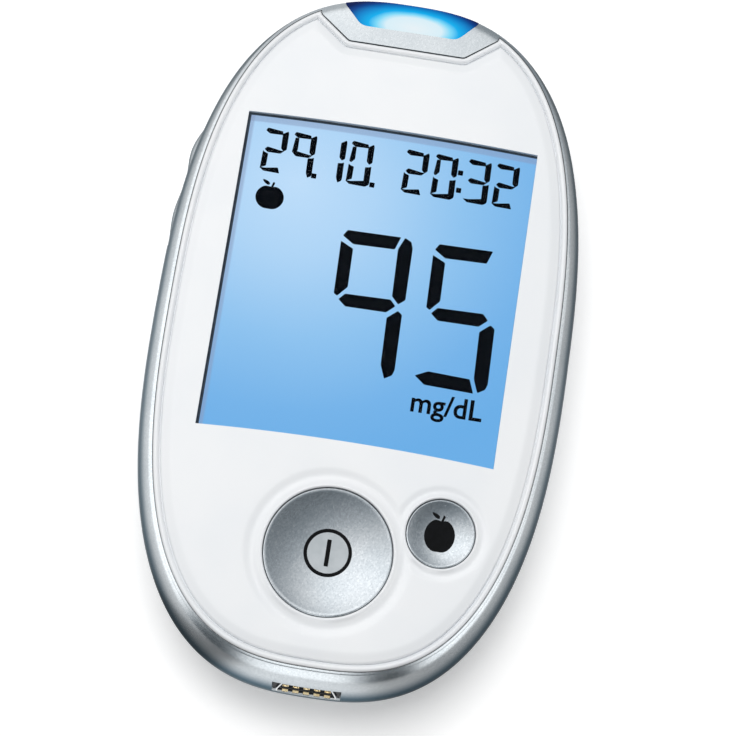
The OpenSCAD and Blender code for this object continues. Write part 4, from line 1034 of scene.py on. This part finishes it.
def sheet(name, outer, holes, heightAt, thick, spacing=0.5):
    xs, ys = [p[0] for p in outer], [p[1] for p in outer]
    extra = []
    if spacing:
        for i in range(math.ceil((max(xs) - min(xs)) / spacing)):
            for j in range(math.ceil((max(ys) - min(ys)) / spacing)):
                spot = (min(xs) + (i + 0.5) * spacing, min(ys) + (j + 0.5) * spacing)
                near = min(math.dist(spot, p) for plan in [outer] + holes for p in plan)
                if insidePlan(*spot, outer) and not any(insidePlan(*spot, h) for h in holes):
                    if near > 0.3 * spacing:
                        extra.append(spot)
    flat, tris = fillPlan(outer, holes, extra)
    count = len(flat)
    verts = [(x, y, heightAt(x, y)) for x, y in flat] + [(x, y, heightAt(x, y) + thick) for x, y in flat]
    faces = [t[::-1] for t in tris] + [[i + count for i in t] for t in tris]
    sides = {}
    for t in tris:
        for a, b in zip(t, t[1:] + t[:1]):
            sides[(a, b)] = True
    for a, b in sides:
        if (b, a) not in sides:
            faces.append([a, b, b + count, a + count])
    return addPiece(name, verts, faces)


ink = {"thick": 0.02, "lift": 0.005}


def printOn(name, node, key, plans, material):
    def heightAt(x, y):
        return dishLevel(key, math.dist((x, y), key["at"])) + ink["lift"]
    parts = [sheet("mark", outer, holes, heightAt, ink["thick"]) for outer, holes in plans]
    dress(joinPieces(name, parts), material, node)


def around(at, plan):
    return [(at[0] + x, at[1] + y) for x, y in plan]


powerMark = {"r": 3.42, "stroke": 0.5, "barL": 3.85, "barW": 0.62, "barR": 0.1, "gap": 0.02}
innerR = powerMark["r"] - powerMark["stroke"]
ringOuter, ringInner, disc = (circlePlan(r, power["at"])
                              for r in (powerMark["r"], innerR, innerR - powerMark["gap"]))
barPlan = around(power["at"], roundedPlan(powerMark["barW"] / 2, powerMark["barL"] / 2, powerMark["barR"],
                                          steps=3))
printOn("powerDisc", "power_button", power, [(disc, [barPlan])], "paleInk")
printOn("powerSign", "power_button", power, [(ringOuter, [ringInner]), (barPlan, [])], "keyInk")
fruit = {"steps": 72, "dip": (0.14, 0.32), "foot": (0.06, 0.3), "tall": 1.03,
         "stem": [(-0.035, 0.36), (0.035, 0.36), (0.12, 0.6), (0.05, 0.64)], "stemShare": 0.43,
         "leafAt": (-0.2, 0.6), "leafHalf": (0.15, 0.06), "leafLean": (0.87, 0.5), "leafSteps": 24}


def fruitPlans(at, size, tall):
    # Round fruit with a dip at its top, a stem and a leaf; size is its width, tall its height share
    def dipAt(a, way, dip):
        return dip[0] * math.exp(-((a - way) / dip[1]) ** 2)
    skin, leaf = [], []
    for i in range(fruit["steps"]):
        a = 2 * math.pi * i / fruit["steps"]
        r = 0.5 * (1 - dipAt(a, math.pi / 2, fruit["dip"]) - dipAt(a, 1.5 * math.pi, fruit["foot"]))
        skin.append((r * math.cos(a), r * math.sin(a) * tall))
    (c, s), (long, wide), (leafX, leafY) = fruit["leafLean"], fruit["leafHalf"], fruit["leafAt"]
    for i in range(fruit["leafSteps"]):
        a = 2 * math.pi * i / fruit["leafSteps"]
        x, y = long * math.cos(a), wide * math.sin(a) * (1 + 0.3 * math.cos(a))
        leaf.append((leafX + x * c + y * s, leafY - x * s + y * c))
    lower = (fruit["tall"] - tall) * fruit["stemShare"]
    stem, leaf = ([(x, y - lower) for x, y in plan] for plan in (fruit["stem"], leaf))
    return [([(at[0] + size * x, at[1] + size * y) for x, y in plan], []) for plan in (skin, stem, leaf)]


markerMark = {"shift": (-0.1, -0.25), "size": 4.35, "tall": 1.13}
markerMiddle = [a + b for a, b in zip(marker["at"], markerMark["shift"])]
printOn("fruitSign", "marker_button", marker,
        fruitPlans(markerMiddle, markerMark["size"], markerMark["tall"]), "keyInk")

digitH = 21.4
segments = {
    "a": [(0.20, 20.36), (0.75, 21.27), (8.61, 21.40), (7.93, 19.45), (1.84, 19.29)],
    "b": [(9.21, 21.40), (10.18, 20.94), (10.52, 19.97), (10.59, 12.14), (9.63, 11.38), (8.59, 12.43),
          (8.41, 19.53)],
    "f": [(0.03, 19.51), (1.95, 18.59), (2.05, 12.80), (0.72, 11.27), (0.18, 11.59)],
    "g": [(1.82, 11.75), (8.47, 11.90), (9.29, 11.02), (8.08, 9.92), (2.11, 9.87), (0.99, 10.80)],
    "c": [(9.77, 10.39), (10.43, 9.89), (10.58, 1.68), (10.32, 0.84), (9.25, 0.17), (8.47, 2.14),
          (8.29, 9.14)],
    "d": [(0, 1.35), (1.82, 2.24), (7.89, 2.01), (8.67, 0.0), (1.52, 0.2)],
    "e": [(0.03, 1.9), (1.95, 2.8), (2.05, 8.6), (0.72, 10.13), (0.18, 9.8)],
}
digits = {"0": "abcdef", "1": "bc", "2": "abged", "3": "abgcd", "5": "afgcd", "9": "abcfg"}
crystalLow = cadBox("lcd_cell")[1][2] + 0.002
crystalT = 0.03


def growPlan(plan, grow):
    # Moves every edge of a counter-clockwise plan outwards
    grown = []
    for k, corner in enumerate(plan):
        before, after = plan[k - 1], plan[(k + 1) % len(plan)]
        a = math.atan2(corner[1] - before[1], corner[0] - before[0]) - math.pi / 2
        b = math.atan2(after[1] - corner[1], after[0] - corner[0]) - math.pi / 2
        size = grow / max(0.5, math.cos((b - a) / 2))
        grown.append((corner[0] + size * math.cos((a + b) / 2), corner[1] + size * math.sin((a + b) / 2)))
    return grown


def areaOf(plan):
    return sum(a[0] * b[1] - a[1] * b[0] for a, b in zip(plan, plan[1:] + plan[:1])) / 2


def segmentsOf(text, left, low, height, grow=0.0):
    scale, plans = height / digitH, []
    for name in digits[text]:
        plan = [(left + x * scale, low + y * scale) for x, y in segments[name]]
        if areaOf(plan) < 0:
            plan = plan[::-1]
        plans.append(growPlan(plan, grow) if grow else plan)
    return plans


# What the display shows: a large reading, the date and time in a row above it, a fruit and the unit
display = {"cornerR": 0.12, "big": [("9", -5.15), ("5", 8.4)], "bigLow": -7.1,
           "small": [("2", -18.45), ("9", -14.25), ("1", -9.78), ("0", -5.73), ("2", 2.46), ("0", 6.8),
                     ("3", 11.71), ("2", 15.9)], "smallLow": 21.2, "smallH": 6.5, "smallGrow": 0.13,
           "dots": [(-10.57, 21.5), (-1.95, 21.5), (10.63, 25.4), (10.72, 22.72)], "dotHalf": 0.38,
           "fruitAt": (-16.43, 17.27), "fruitW": 4.15, "fruitTall": 0.9,
           "unitAt": (8.48, -11.0), "unitW": 10.3, "unitBold": 0.016}
rowShift = body["middleY"]


def showPlans(name, plans):
    parts = [sheet("mark", bendCorners(plan, display["cornerR"], 2) if len(plan) < 12 else plan, [],
                   lambda x, y: crystalLow, crystalT, 0) for plan in plans]
    dress(joinPieces(name, parts), "darkCrystal")


def showMarks():
    reading = [segmentsOf(text, left, display["bigLow"] + rowShift, digitH) for text, left in display["big"]]
    showPlans("readingDigits", sum(reading, []))
    row = [segmentsOf(text, left, display["smallLow"] + rowShift, display["smallH"], display["smallGrow"])
           for text, left in display["small"]]
    dot = roundedPlan(display["dotHalf"], display["dotHalf"], 0.1, steps=3)
    dots = [around((x, y + rowShift), dot) for x, y in display["dots"]]
    showPlans("dateAndTime", sum(row, []) + dots)
    x, y = display["fruitAt"]
    mark = fruitPlans((x, y + rowShift), display["fruitW"], display["fruitTall"])
    showPlans("fruitMarker", [plan for plan, _ in mark])


def unitText():
    words = bpy.data.curves.new("unit", "FONT")
    words.body = "mg/dL"
    words.size, words.extrude, words.resolution_u, words.offset = 1, 0, 6, display["unitBold"]
    holder = bpy.data.objects.new("unit", words)
    scene.collection.objects.link(holder)
    bpy.context.view_layer.update()
    flat = bpy.data.meshes.new_from_object(holder.evaluated_get(bpy.context.evaluated_depsgraph_get()))
    bpy.data.objects.remove(holder)
    work = bmesh.new()
    work.from_mesh(flat)
    lowX, highX = (end(v.co.x for v in work.verts) for end in (min, max))
    scale = display["unitW"] / (highX - lowX)
    left, low = display["unitAt"]
    for v in work.verts:
        spot = (left + (v.co.x - lowX) * scale, low + rowShift + v.co.y * scale, crystalLow)
        v.co = [c * mm for c in spot]
    bmesh.ops.remove_doubles(work, verts=work.verts, dist=1e-7)
    for v in extrudeSheet(work):
        v.co.z += crystalT * mm
    dress(newPiece("unitText", toMesh(work, "unitText")), "darkCrystal")


showMarks()
unitText()


# Side rocker

def rockerRing(along, half, low, high):
    # Section across the key, at a place from -1 to 1 along it
    y, r, tipR = rocker["middleY"] + half * along, rocker["edgeR"], rocker["tipR"]
    nx, ny = outward(*leftEdge(y))
    swell = swellAt(nx, ny)
    # Two crests: the one towards the strip end stands out more
    crest = rocker["crests"][1 if along > 0 else 0] + rocker["valley"]
    out = swell - rocker["valley"] + crest * math.sin(math.pi * along) ** 2
    tip = half * (1 - abs(along))
    if tip < tipR:
        out -= tipR - math.sqrt(tipR * tipR - (tipR - tip) ** 2)
    # Its face follows the round of the shell's side, with rounded edges
    ring = [moveIn(y, low, rocker["thick"])]
    for k in range(rocker["rowSteps"] + 1):
        z = low + (high - low) * (1 - math.cos(math.pi * k / rocker["rowSteps"])) / 2
        near = min(z - low, high - z)
        edge = r - math.sqrt(r * r - (r - near) ** 2) if near < r else 0
        ring.append(moveIn(y, z, -out + (sideIn(z, nx, ny) + swell) + edge))
    return ring + [moveIn(y, high, rocker["thick"])]


def rockerLug(name, at, inward, half, low, high):
    # Block under the key, square to the shell's side
    x, y = leftEdge(rocker["middleY"] + at)
    nx, ny = outward(x, y)
    corners = ((rocker["lugFrom"], -half), (rocker["lugFrom"], half), (inward, half), (inward, -half))
    return prism(name, [(x - deep * nx + side * ny, y - deep * ny - side * nx) for deep, side in corners],
                 low, high)


def makeRocker():
    half, low, high = rocker["length"] / 2, rocker["low"], rocker["high"] + rocker["rise"]
    places = [-1 + 2 * i / rocker["steps"] for i in range(rocker["steps"] + 1)]
    key = loft("rockerKey", [rockerRing(along, half, low, high) for along in places])
    reach, earTop, nubLow = half + rocker["earReach"], low + rocker["earH"], low + rocker["nubUp"]
    ends = [moveIn(rocker["middleY"] + side * reach, low, rocker["thick"] + past)[:2]
            for side, past in ((-1, -rocker["earLap"]), (1, -rocker["earLap"]), (1, rocker["earPast"]),
                               (-1, rocker["earPast"]))]
    pivot = leftEdge(rocker["middleY"], rocker["pivotIn"])
    lugs = [prism("ears", ends, low, earTop),
            rockerLug("web", 0, rocker["pivotIn"], 0.8 * rocker["pivotR"], low, earTop),
            prism("boss", circlePlan(rocker["pivotR"], pivot, 48), low, earTop)]
    for side in (-1, 1):
        lugs.append(rockerLug("nub", side * rocker["nubAt"], rocker["nubIn"], rocker["nubW"] / 2, nubLow,
                              nubLow + rocker["nubW"]))
    shapeWith(key, lugs, "UNION")
    return shapeWith(key, [prism("bore", circlePlan(rocker["pinR"], pivot, 32), low - 1, high + 1)])


dress(makeRocker(), "silverLacquer", "side_rocker", ["side_rocker"])


# Strip port

def makeLens():
    low = cadBox("strip_port_lens")[0][2]
    form = topForm("portLens", low, lens["proud"])
    shapeWith(form, [prism("keep", lensPlan(), low - 1, body["faceZ"])], "INTERSECT")
    slot = box("slot", (-lens["slotW"] / 2, lens["innerY"] - 1, lens["slotLow"]),
               (lens["slotW"] / 2, lens["slotEnd"], lens["slotHigh"]))
    return shapeWith(form, [slot])


dress(makeLens(), "litLens", "root", ["strip_port_lens"])


# Battery door

door = {"halfW": 11.05, "top": 1.8, "edge": 0.3, "edgeCut": 0.09, "barrelEnd": 0.5,
        "rows": [(0, 0.18), (0.05, 0.05), (0.18, 0)], "thin": 0.8, "latchHalf": 4.5, "latchT": 0.8,
        "latchLap": 0.2, "latchIn": 0.02, "gripY": 17.6, "gripPitch": 1.15, "gripCount": 5, "gripHalf": 5.4,
        "gripTaper": 0.5, "gripHalfW": 0.26, "gripDeep": 0.22, "sharpAt": 13}


def makeDoor():
    half, edge, cut = door["halfW"], door["edge"], door["edgeCut"]
    y1, z0, z1, hingeY, hingeZ = doorHigh[1], doorLow[2], door["top"], bay["hingeY"], bay["hingeZ"]
    r = (z1 - z0) / 2
    side = [(hingeY + r * math.cos(math.radians(a)), hingeZ + r * math.sin(math.radians(a)))
            for a in range(90, 271, 12)]
    side += [(hingeY + door["barrelEnd"], z0), (y1 - edge, z0), (y1 - cut, z0 + cut), (y1, z0 + edge),
             (y1, z1)]
    middleY, middleZ = (hingeY + y1) / 2, (z0 + z1) / 2
    # The ends are a little smaller, for a soft edge
    rows = [(-half + away, small) for away, small in door["rows"]]
    rows += [(half - away, small) for away, small in door["rows"][::-1]]
    rings = [[(x, y - math.copysign(min(small, abs(y - middleY)), y - middleY),
               z - math.copysign(min(small, door["thin"] * abs(z - middleZ)), z - middleZ)) for y, z in side]
             for x, small in rows]
    piece = loft("batteryDoor", rings, door["sharpAt"])
    reach = bay["halfW"] + bay["stubL"]
    stubs = [barAlongX("stub", circlePlan(bay["stubR"], (hingeY, hingeZ), 32), -reach, reach),
             box("latch", (-door["latchHalf"], y1 - door["latchT"], z1 - door["latchLap"]),
                 (door["latchHalf"], y1 - door["latchIn"], doorHigh[2]))]
    shapeWith(piece, stubs, "UNION")
    grips = []
    for i in range(door["gripCount"]):
        # Grip lines near the latch, shorter away from the middle one
        long = door["gripHalf"] - door["gripTaper"] * abs(i - door["gripCount"] // 2)
        plan = roundedPlan(long, door["gripHalfW"], 0.25, (0, door["gripY"] + i * door["gripPitch"]), 4)
        grips.append(prism("grip", plan, z0 - 1, z0 + door["gripDeep"]))
    return shapeWith(piece, grips, sharpAt=door["sharpAt"])


dress(makeDoor(), "silverLacquer", "battery_door", ["battery_door"])


# Data port

mouth = {"sheet": 0.22, "slope": 1.3, "foot": 0.5, "footH": 0.8, "lean": 1.5, "bendR": (0.3, 0.2)}


def makePortMouth():
    # Sheet sleeve with sloping ends and a slanted mouth
    (x0, y0, z0), (x1, y1, z1) = portLow, portHigh
    t, foot, lean, knee = mouth["sheet"], mouth["foot"], mouth["lean"], z0 + mouth["footH"]
    def plan(inset):
        low, high, end = foot + inset, lean + inset * 0.7, z1 - inset
        return [(x0 + low, z0 + inset), (x1 - low, z0 + inset), (x1 - low, knee), (x1 - high, end),
                (x0 + high, end), (x0 + low, knee)]
    sleeve = barAlongY("dataPortMouth", bendCorners(plan(0.0), mouth["bendR"][0], 4), y0, y1)
    hollow = barAlongY("hollow", bendCorners(plan(t), mouth["bendR"][1], 4), y0 - 1, y1 - t)
    slant = [(y0 - 2, z0 + t), (y0, z0 + t), (y0 + mouth["slope"], z1 + 0.1), (y0 - 2, z1 + 0.1)]
    return shapeWith(sleeve, [hollow, barAlongX("slant", slant, x0 - 1, x1 + 1)])


floorForm = {"low": (0.85, 0.16, 0.24), "high": (0.85, 0.5), "top": 0.5, "gap": 0.02, "foot": 0.44,
             "knee": 0.76, "lean": 1.3, "under": 0.1, "front": 0.1, "back": 0.3, "slope": 1.5}


def makePortFloor():
    # Black moulding on the sleeve's floor, open behind each tooth of its lip, and the end blocks
    # that fill the room beside the sleeve
    (x0, y0, z0), (x1, y1, z1) = portLow, portHigh
    form, top = floorForm, z1 - floorForm["under"]
    parts = [box("floorPart", [c + d for c, d in zip(portLow, form["low"])],
                 (x1 - form["high"][0], y1 - form["high"][1], z0 + form["top"]))]
    for side in (-1, 1):
        edge = max(side * x0, side * x1)
        plan = [(side * (edge - inward), z)
                for inward, z in ((form["gap"], z0 + form["gap"]), (form["foot"], z0 + form["gap"]),
                                  (form["foot"], z0 + form["knee"]), (form["lean"], top), (form["gap"], top))]
        block = barAlongY("endBlock", plan, y0 + form["front"], y1 - form["back"])
        slant = [(y0 - 2, z0 - 1), (y0 - 0.1, z0 - 1), (y0 + form["slope"], z1 + 0.1), (y0 - 2, z1 + 0.1)]
        parts.append(shapeWith(block, [barAlongX("slant", slant, x0 - 1, x1 + 1)]))
    return joinPieces("dataPortFloor", parts)


pins = {"count": 5, "halfW": 0.28, "nose": [(0, 0.3), (0.1, 0.75), (0.3, 1.0)], "crown": 0.65,
        "toothHalf": 0.42, "toothAt": (0.02, 0.36), "toothZ": (0.3, 0.72)}


def makePortContacts():
    low, high = cadBox("data_port_contacts")
    pitch = (high[0] - low[0]) / (pins["count"] - 1 + 2 * pins["halfW"])
    w = pins["halfW"] * pitch
    parts = []
    for i in range(pins["count"]):
        x = low[0] + w + i * pitch
        # Each pin has a rounded nose and a crown across its width
        rings = []
        for y, rise in [(low[1] + along, rise) for along, rise in pins["nose"]] + [(high[1], 1.0)]:
            ring = [(x - w, y, low[2]), (x + w, y, low[2])]
            for a in (math.radians(a) for a in range(0, 181, 20)):
                crown = 1 - pins["crown"] + pins["crown"] * math.sin(a)
                ring.append((x + w * math.cos(a), y, low[2] + (high[2] - low[2]) * rise * crown))
            rings.append(ring)
        parts.append(loft("pin", rings))
        # Tooth of the same strip that shows at the sleeve's lip
        (front, back), (foot, top) = pins["toothAt"], pins["toothZ"]
        parts.append(box("tooth", (x - pins["toothHalf"], portLow[1] + front, portLow[2] + foot),
                         (x + pins["toothHalf"], portLow[1] + back, portLow[2] + top)))
    return joinPieces("dataPortPins", parts)


dress(makePortMouth(), "nickelSheet", "root", ["data_port_shell"])
dress(makePortContacts(), "goldFlash", "root", ["data_port_contacts"])
dress(makePortFloor(), "blackNylon", "root")


# Seal round the window: foam, wider at the left and at the top, where its dark lip is painted shade

shadowSeal = {"left": 0.4, "top": 0.3, "steps": 24}


def makeShadowSeal():
    low, high = cadBox("window_gasket")
    x0, x1 = -window["halfW"] + shadowSeal["left"], window["halfW"]
    across = [x0 + (x1 - x0) * i / shadowSeal["steps"] for i in range(shadowSeal["steps"] + 1)]
    inner = [(x, sillEdge(x, False)) for x in across]
    inner += [(x, sillEdge(x, True) - shadowSeal["top"]) for x in across[::-1]]
    return sheet("windowShadowSeal", rectPlan(low, high), [inner], lambda x, y: low[2], high[2] - low[2], 0)


dress(makeShadowSeal(), "foamGasketShade", "root", ["window_gasket"])


# Stage: pale floor, soft studio light, camera

stage = {
    "half": 1.6, "lift": 0.3, "tones": ("#EFEFEF", "#F3F3F3"), "fibreMm": 0.8, "backdrop": "#F4F4F4",
    "keyAt": (-0.08, 0.16, 0.82), "keySize": 0.46, "keyWatts": 5.8, "fill": 0.2,
    # The studio as gloss shows it: strength by the side near the horizon, from +X round to the left,
    # with two dark gaps in front, and above that by the angle from the main soft box
    "lowSky": [(0, 1.35), (15, 1.2), (30, 0.9), (45, 0.6), (60, 0.45), (80, 0.6), (105, 0.8), (125, 0.85),
               (140, 1.2), (155, 1.6), (180, 1.85), (200, 1.85), (213, 1.45), (221, 0.65), (229, 0.14),
               (241, 0.12), (249, 0.6), (258, 1.6), (270, 1.85), (277, 1.4), (284, 0.35), (293, 0.05),
               (301, 0.15), (309, 1.0), (317, 1.6), (330, 1.8), (345, 1.65), (360, 1.35)],
    "highSky": [(-1.0, 0.18), (0.4, 0.18), (0.6, 0.2), (0.66, 0.25), (0.72, 0.36), (0.78, 0.52), (0.83, 0.68),
                (0.88, 0.88), (0.92, 1.12), (0.95, 1.38), (0.975, 1.58), (1.0, 1.68)],
    # The table as gloss shows it, with dark cloths at the two lower corners
    "table": [(0, 0.7), (40, 0.5), (90, 0.5), (140, 0.75), (180, 0.98), (205, 0.95), (216, 0.85),
              (224, 0.75), (231, 0.6), (238, 0.28), (246, 0.24), (254, 0.8), (262, 1.15), (274, 1.1),
              (283, 0.7), (291, 0.5), (300, 0.48), (312, 0.5), (326, 0.58), (345, 0.68), (360, 0.7)],
    "boxSide": 126, "boxHeight": 60, "blend": (46, 56), "shade": "#B4C8D6"}


def strengthAlong(tree, source, points, low, high, top=2.0):
    # Strength of the light, read off a list of points between low and high; none of them is over top
    place = addNode(tree, "MapRange", {"Value": source, "From Min": low, "From Max": high}).outputs["Result"]
    curve = addNode(tree, "FloatCurve", {
        "Value": place, "mapping": [((at - low) / (high - low), value / top) for at, value in points]})
    return addNode(tree, "Math", {"operation": "MULTIPLY", 0: curve.outputs["Value"], 1: top}).outputs[0]


def strengthRound(tree, parts, points):
    # Strength by the angle round Z, off a list of (degrees, value)
    turn = addNode(tree, "Math", {"operation": "ARCTAN2", 0: parts["Y"], 1: parts["X"]}).outputs[0]
    side = addNode(tree, "Math", {"operation": "FLOORED_MODULO", 0: turn, 1: 2 * math.pi}).outputs[0]
    return strengthAlong(tree, side, [(math.radians(a), v) for a, v in points], 0, 2 * math.pi)


def makeFloor():
    half = stage["half"]
    mesh = bpy.data.meshes.new("floor")
    mesh.from_pydata([(x, y, 0) for x, y in rectPlan((-half, -half), (half, half))], [], [(0, 1, 2, 3)])
    floor = bpy.data.objects.new("floor", mesh)
    scene.collection.objects.link(floor)
    material, tree, shader, coords = newMaterial("whitePaper")
    tree.nodes.remove(shader)
    place, path = coords["Object"], addNode(tree, "LightPath", {}).outputs
    rays = path["Is Camera Ray"]
    for other in ("Is Glossy Ray", "Is Transmission Ray"):
        rays = addNode(tree, "Math", {"operation": "MAXIMUM", 0: rays, 1: path[other]}).outputs[0]
    cloth = strengthRound(tree, addNode(tree, "SeparateXYZ", {"Vector": place}).outputs, stage["table"])
    shade = addNode(tree, "Mix", {"data_type": "FLOAT", 0: path["Is Glossy Ray"], numberA: 1.0,
                                  numberB: cloth}).outputs[numberOut]
    strength = rays
    for factor in (stage["lift"], shade):
        strength = addNode(tree, "Math", {"operation": "MULTIPLY", 0: strength, 1: factor}).outputs[0]
    fibres = addNode(tree, "TexNoise", {"Vector": place, "Scale": 1 / (stage["fibreMm"] * mm),
                                        "Detail": 2.0}).outputs["Fac"]
    paper = addNode(tree, "ValToRGB", {
        "Fac": fibres, "color_ramp": ("EASE", list(enumerate(stage["tones"])))}).outputs["Color"]
    tone = addNode(tree, "VectorMath", {"operation": "SCALE", 0: paper, "Scale": shade}).outputs[0]
    matt = addNode(tree, "BsdfDiffuse", {"Color": tone})
    glow = addNode(tree, "Emission", {"Strength": strength})
    both = addNode(tree, "AddShader", {0: matt.outputs[0], 1: glow.outputs[0]})
    tree.links.new(both.outputs[0], tree.nodes["Material Output"].inputs["Surface"])
    material.cycles.emission_sampling = "NONE"
    mesh.materials.append(material)


def makeSky():
    world = bpy.data.worlds.new("studio")
    scene.world = world
    world.use_nodes = True
    tree = world.node_tree
    tree.nodes.clear()
    way = addNode(tree, "TexCoord", {}).outputs["Generated"]
    parts = addNode(tree, "SeparateXYZ", {"Vector": way}).outputs
    low = strengthRound(tree, parts, stage["lowSky"])
    a, b = math.radians(stage["boxSide"]), math.radians(stage["boxHeight"])
    boxWay = (math.cos(a) * math.cos(b), math.sin(a) * math.cos(b), math.sin(b))
    near = addNode(tree, "VectorMath", {"operation": "DOT_PRODUCT", 0: way, 1: boxWay}).outputs["Value"]
    high = strengthAlong(tree, near, stage["highSky"], -1, 1)
    first, last = (math.sin(math.radians(a)) for a in stage["blend"])
    rise = addNode(tree, "MapRange", {"interpolation_type": "SMOOTHSTEP", "Value": parts["Z"],
                                      "From Min": first, "From Max": last}).outputs["Result"]
    strength = addNode(tree, "Mix", {"data_type": "FLOAT", 0: rise, numberA: low,
                                     numberB: high}).outputs[numberOut]
    # Its dark walls are blue-grey. Gloss and glass see the studio, matt surfaces get its even light
    tone = addNode(tree, "Mix", {"data_type": "RGBA", 0: strength, colourA: toLinear(stage["shade"]),
                                 colourB: (1, 1, 1, 1)}).outputs[colourOut]
    seen = addNode(tree, "Background", {"Color": tone, "Strength": strength})
    even = addNode(tree, "Background", {"Color": (1, 1, 1, 1), "Strength": stage["fill"]})
    plain = addNode(tree, "Background", {"Color": toLinear(stage["backdrop"]), "Strength": 1.0})
    path = addNode(tree, "LightPath", {}).outputs
    shiny = addNode(tree, "Math", {"operation": "MAXIMUM", 0: path["Is Glossy Ray"],
                                   1: path["Is Transmission Ray"]}).outputs[0]
    mixed = addNode(tree, "MixShader", {0: shiny, 1: even.outputs[0], 2: seen.outputs[0]})
    back = addNode(tree, "MixShader", {0: path["Is Camera Ray"], 1: mixed.outputs[0], 2: plain.outputs[0]})
    addNode(tree, "OutputWorld", {"Surface": back.outputs[0]})
    world.cycles.sampling_method = "NONE"   # so that each ray sees the sky meant for it


def makeKeyLight():
    light = bpy.data.lights.new("softBox", "AREA")
    light.shape, light.size, light.energy = "SQUARE", stage["keySize"], stage["keyWatts"]
    holder = bpy.data.objects.new("softBox", light)
    holder.location = stage["keyAt"]
    aim = Vector((0, 0, 0)) - holder.location
    holder.rotation_euler = aim.to_track_quat("-Z", "Y").to_euler()
    holder.visible_glossy = False
    scene.collection.objects.link(holder)


eye = {"at": (1.923, -74.045, 326.458), "turn": (12.563, -1.877, 8.627), "lens": 106.92, "sensor": 36,
       "nearest": 0.01}


def makeCamera():
    data = bpy.data.cameras.new("camera")
    data.lens, data.sensor_width, data.clip_start = eye["lens"], eye["sensor"], eye["nearest"]
    camera = bpy.data.objects.new("camera", data)
    camera.location = [c * mm for c in eye["at"]]
    camera.rotation_euler = [math.radians(a) for a in eye["turn"]]
    scene.collection.objects.link(camera)
    scene.camera = camera


makeFloor()
makeSky()
makeKeyLight()
makeCamera()
scene.view_settings.view_transform = "Standard"
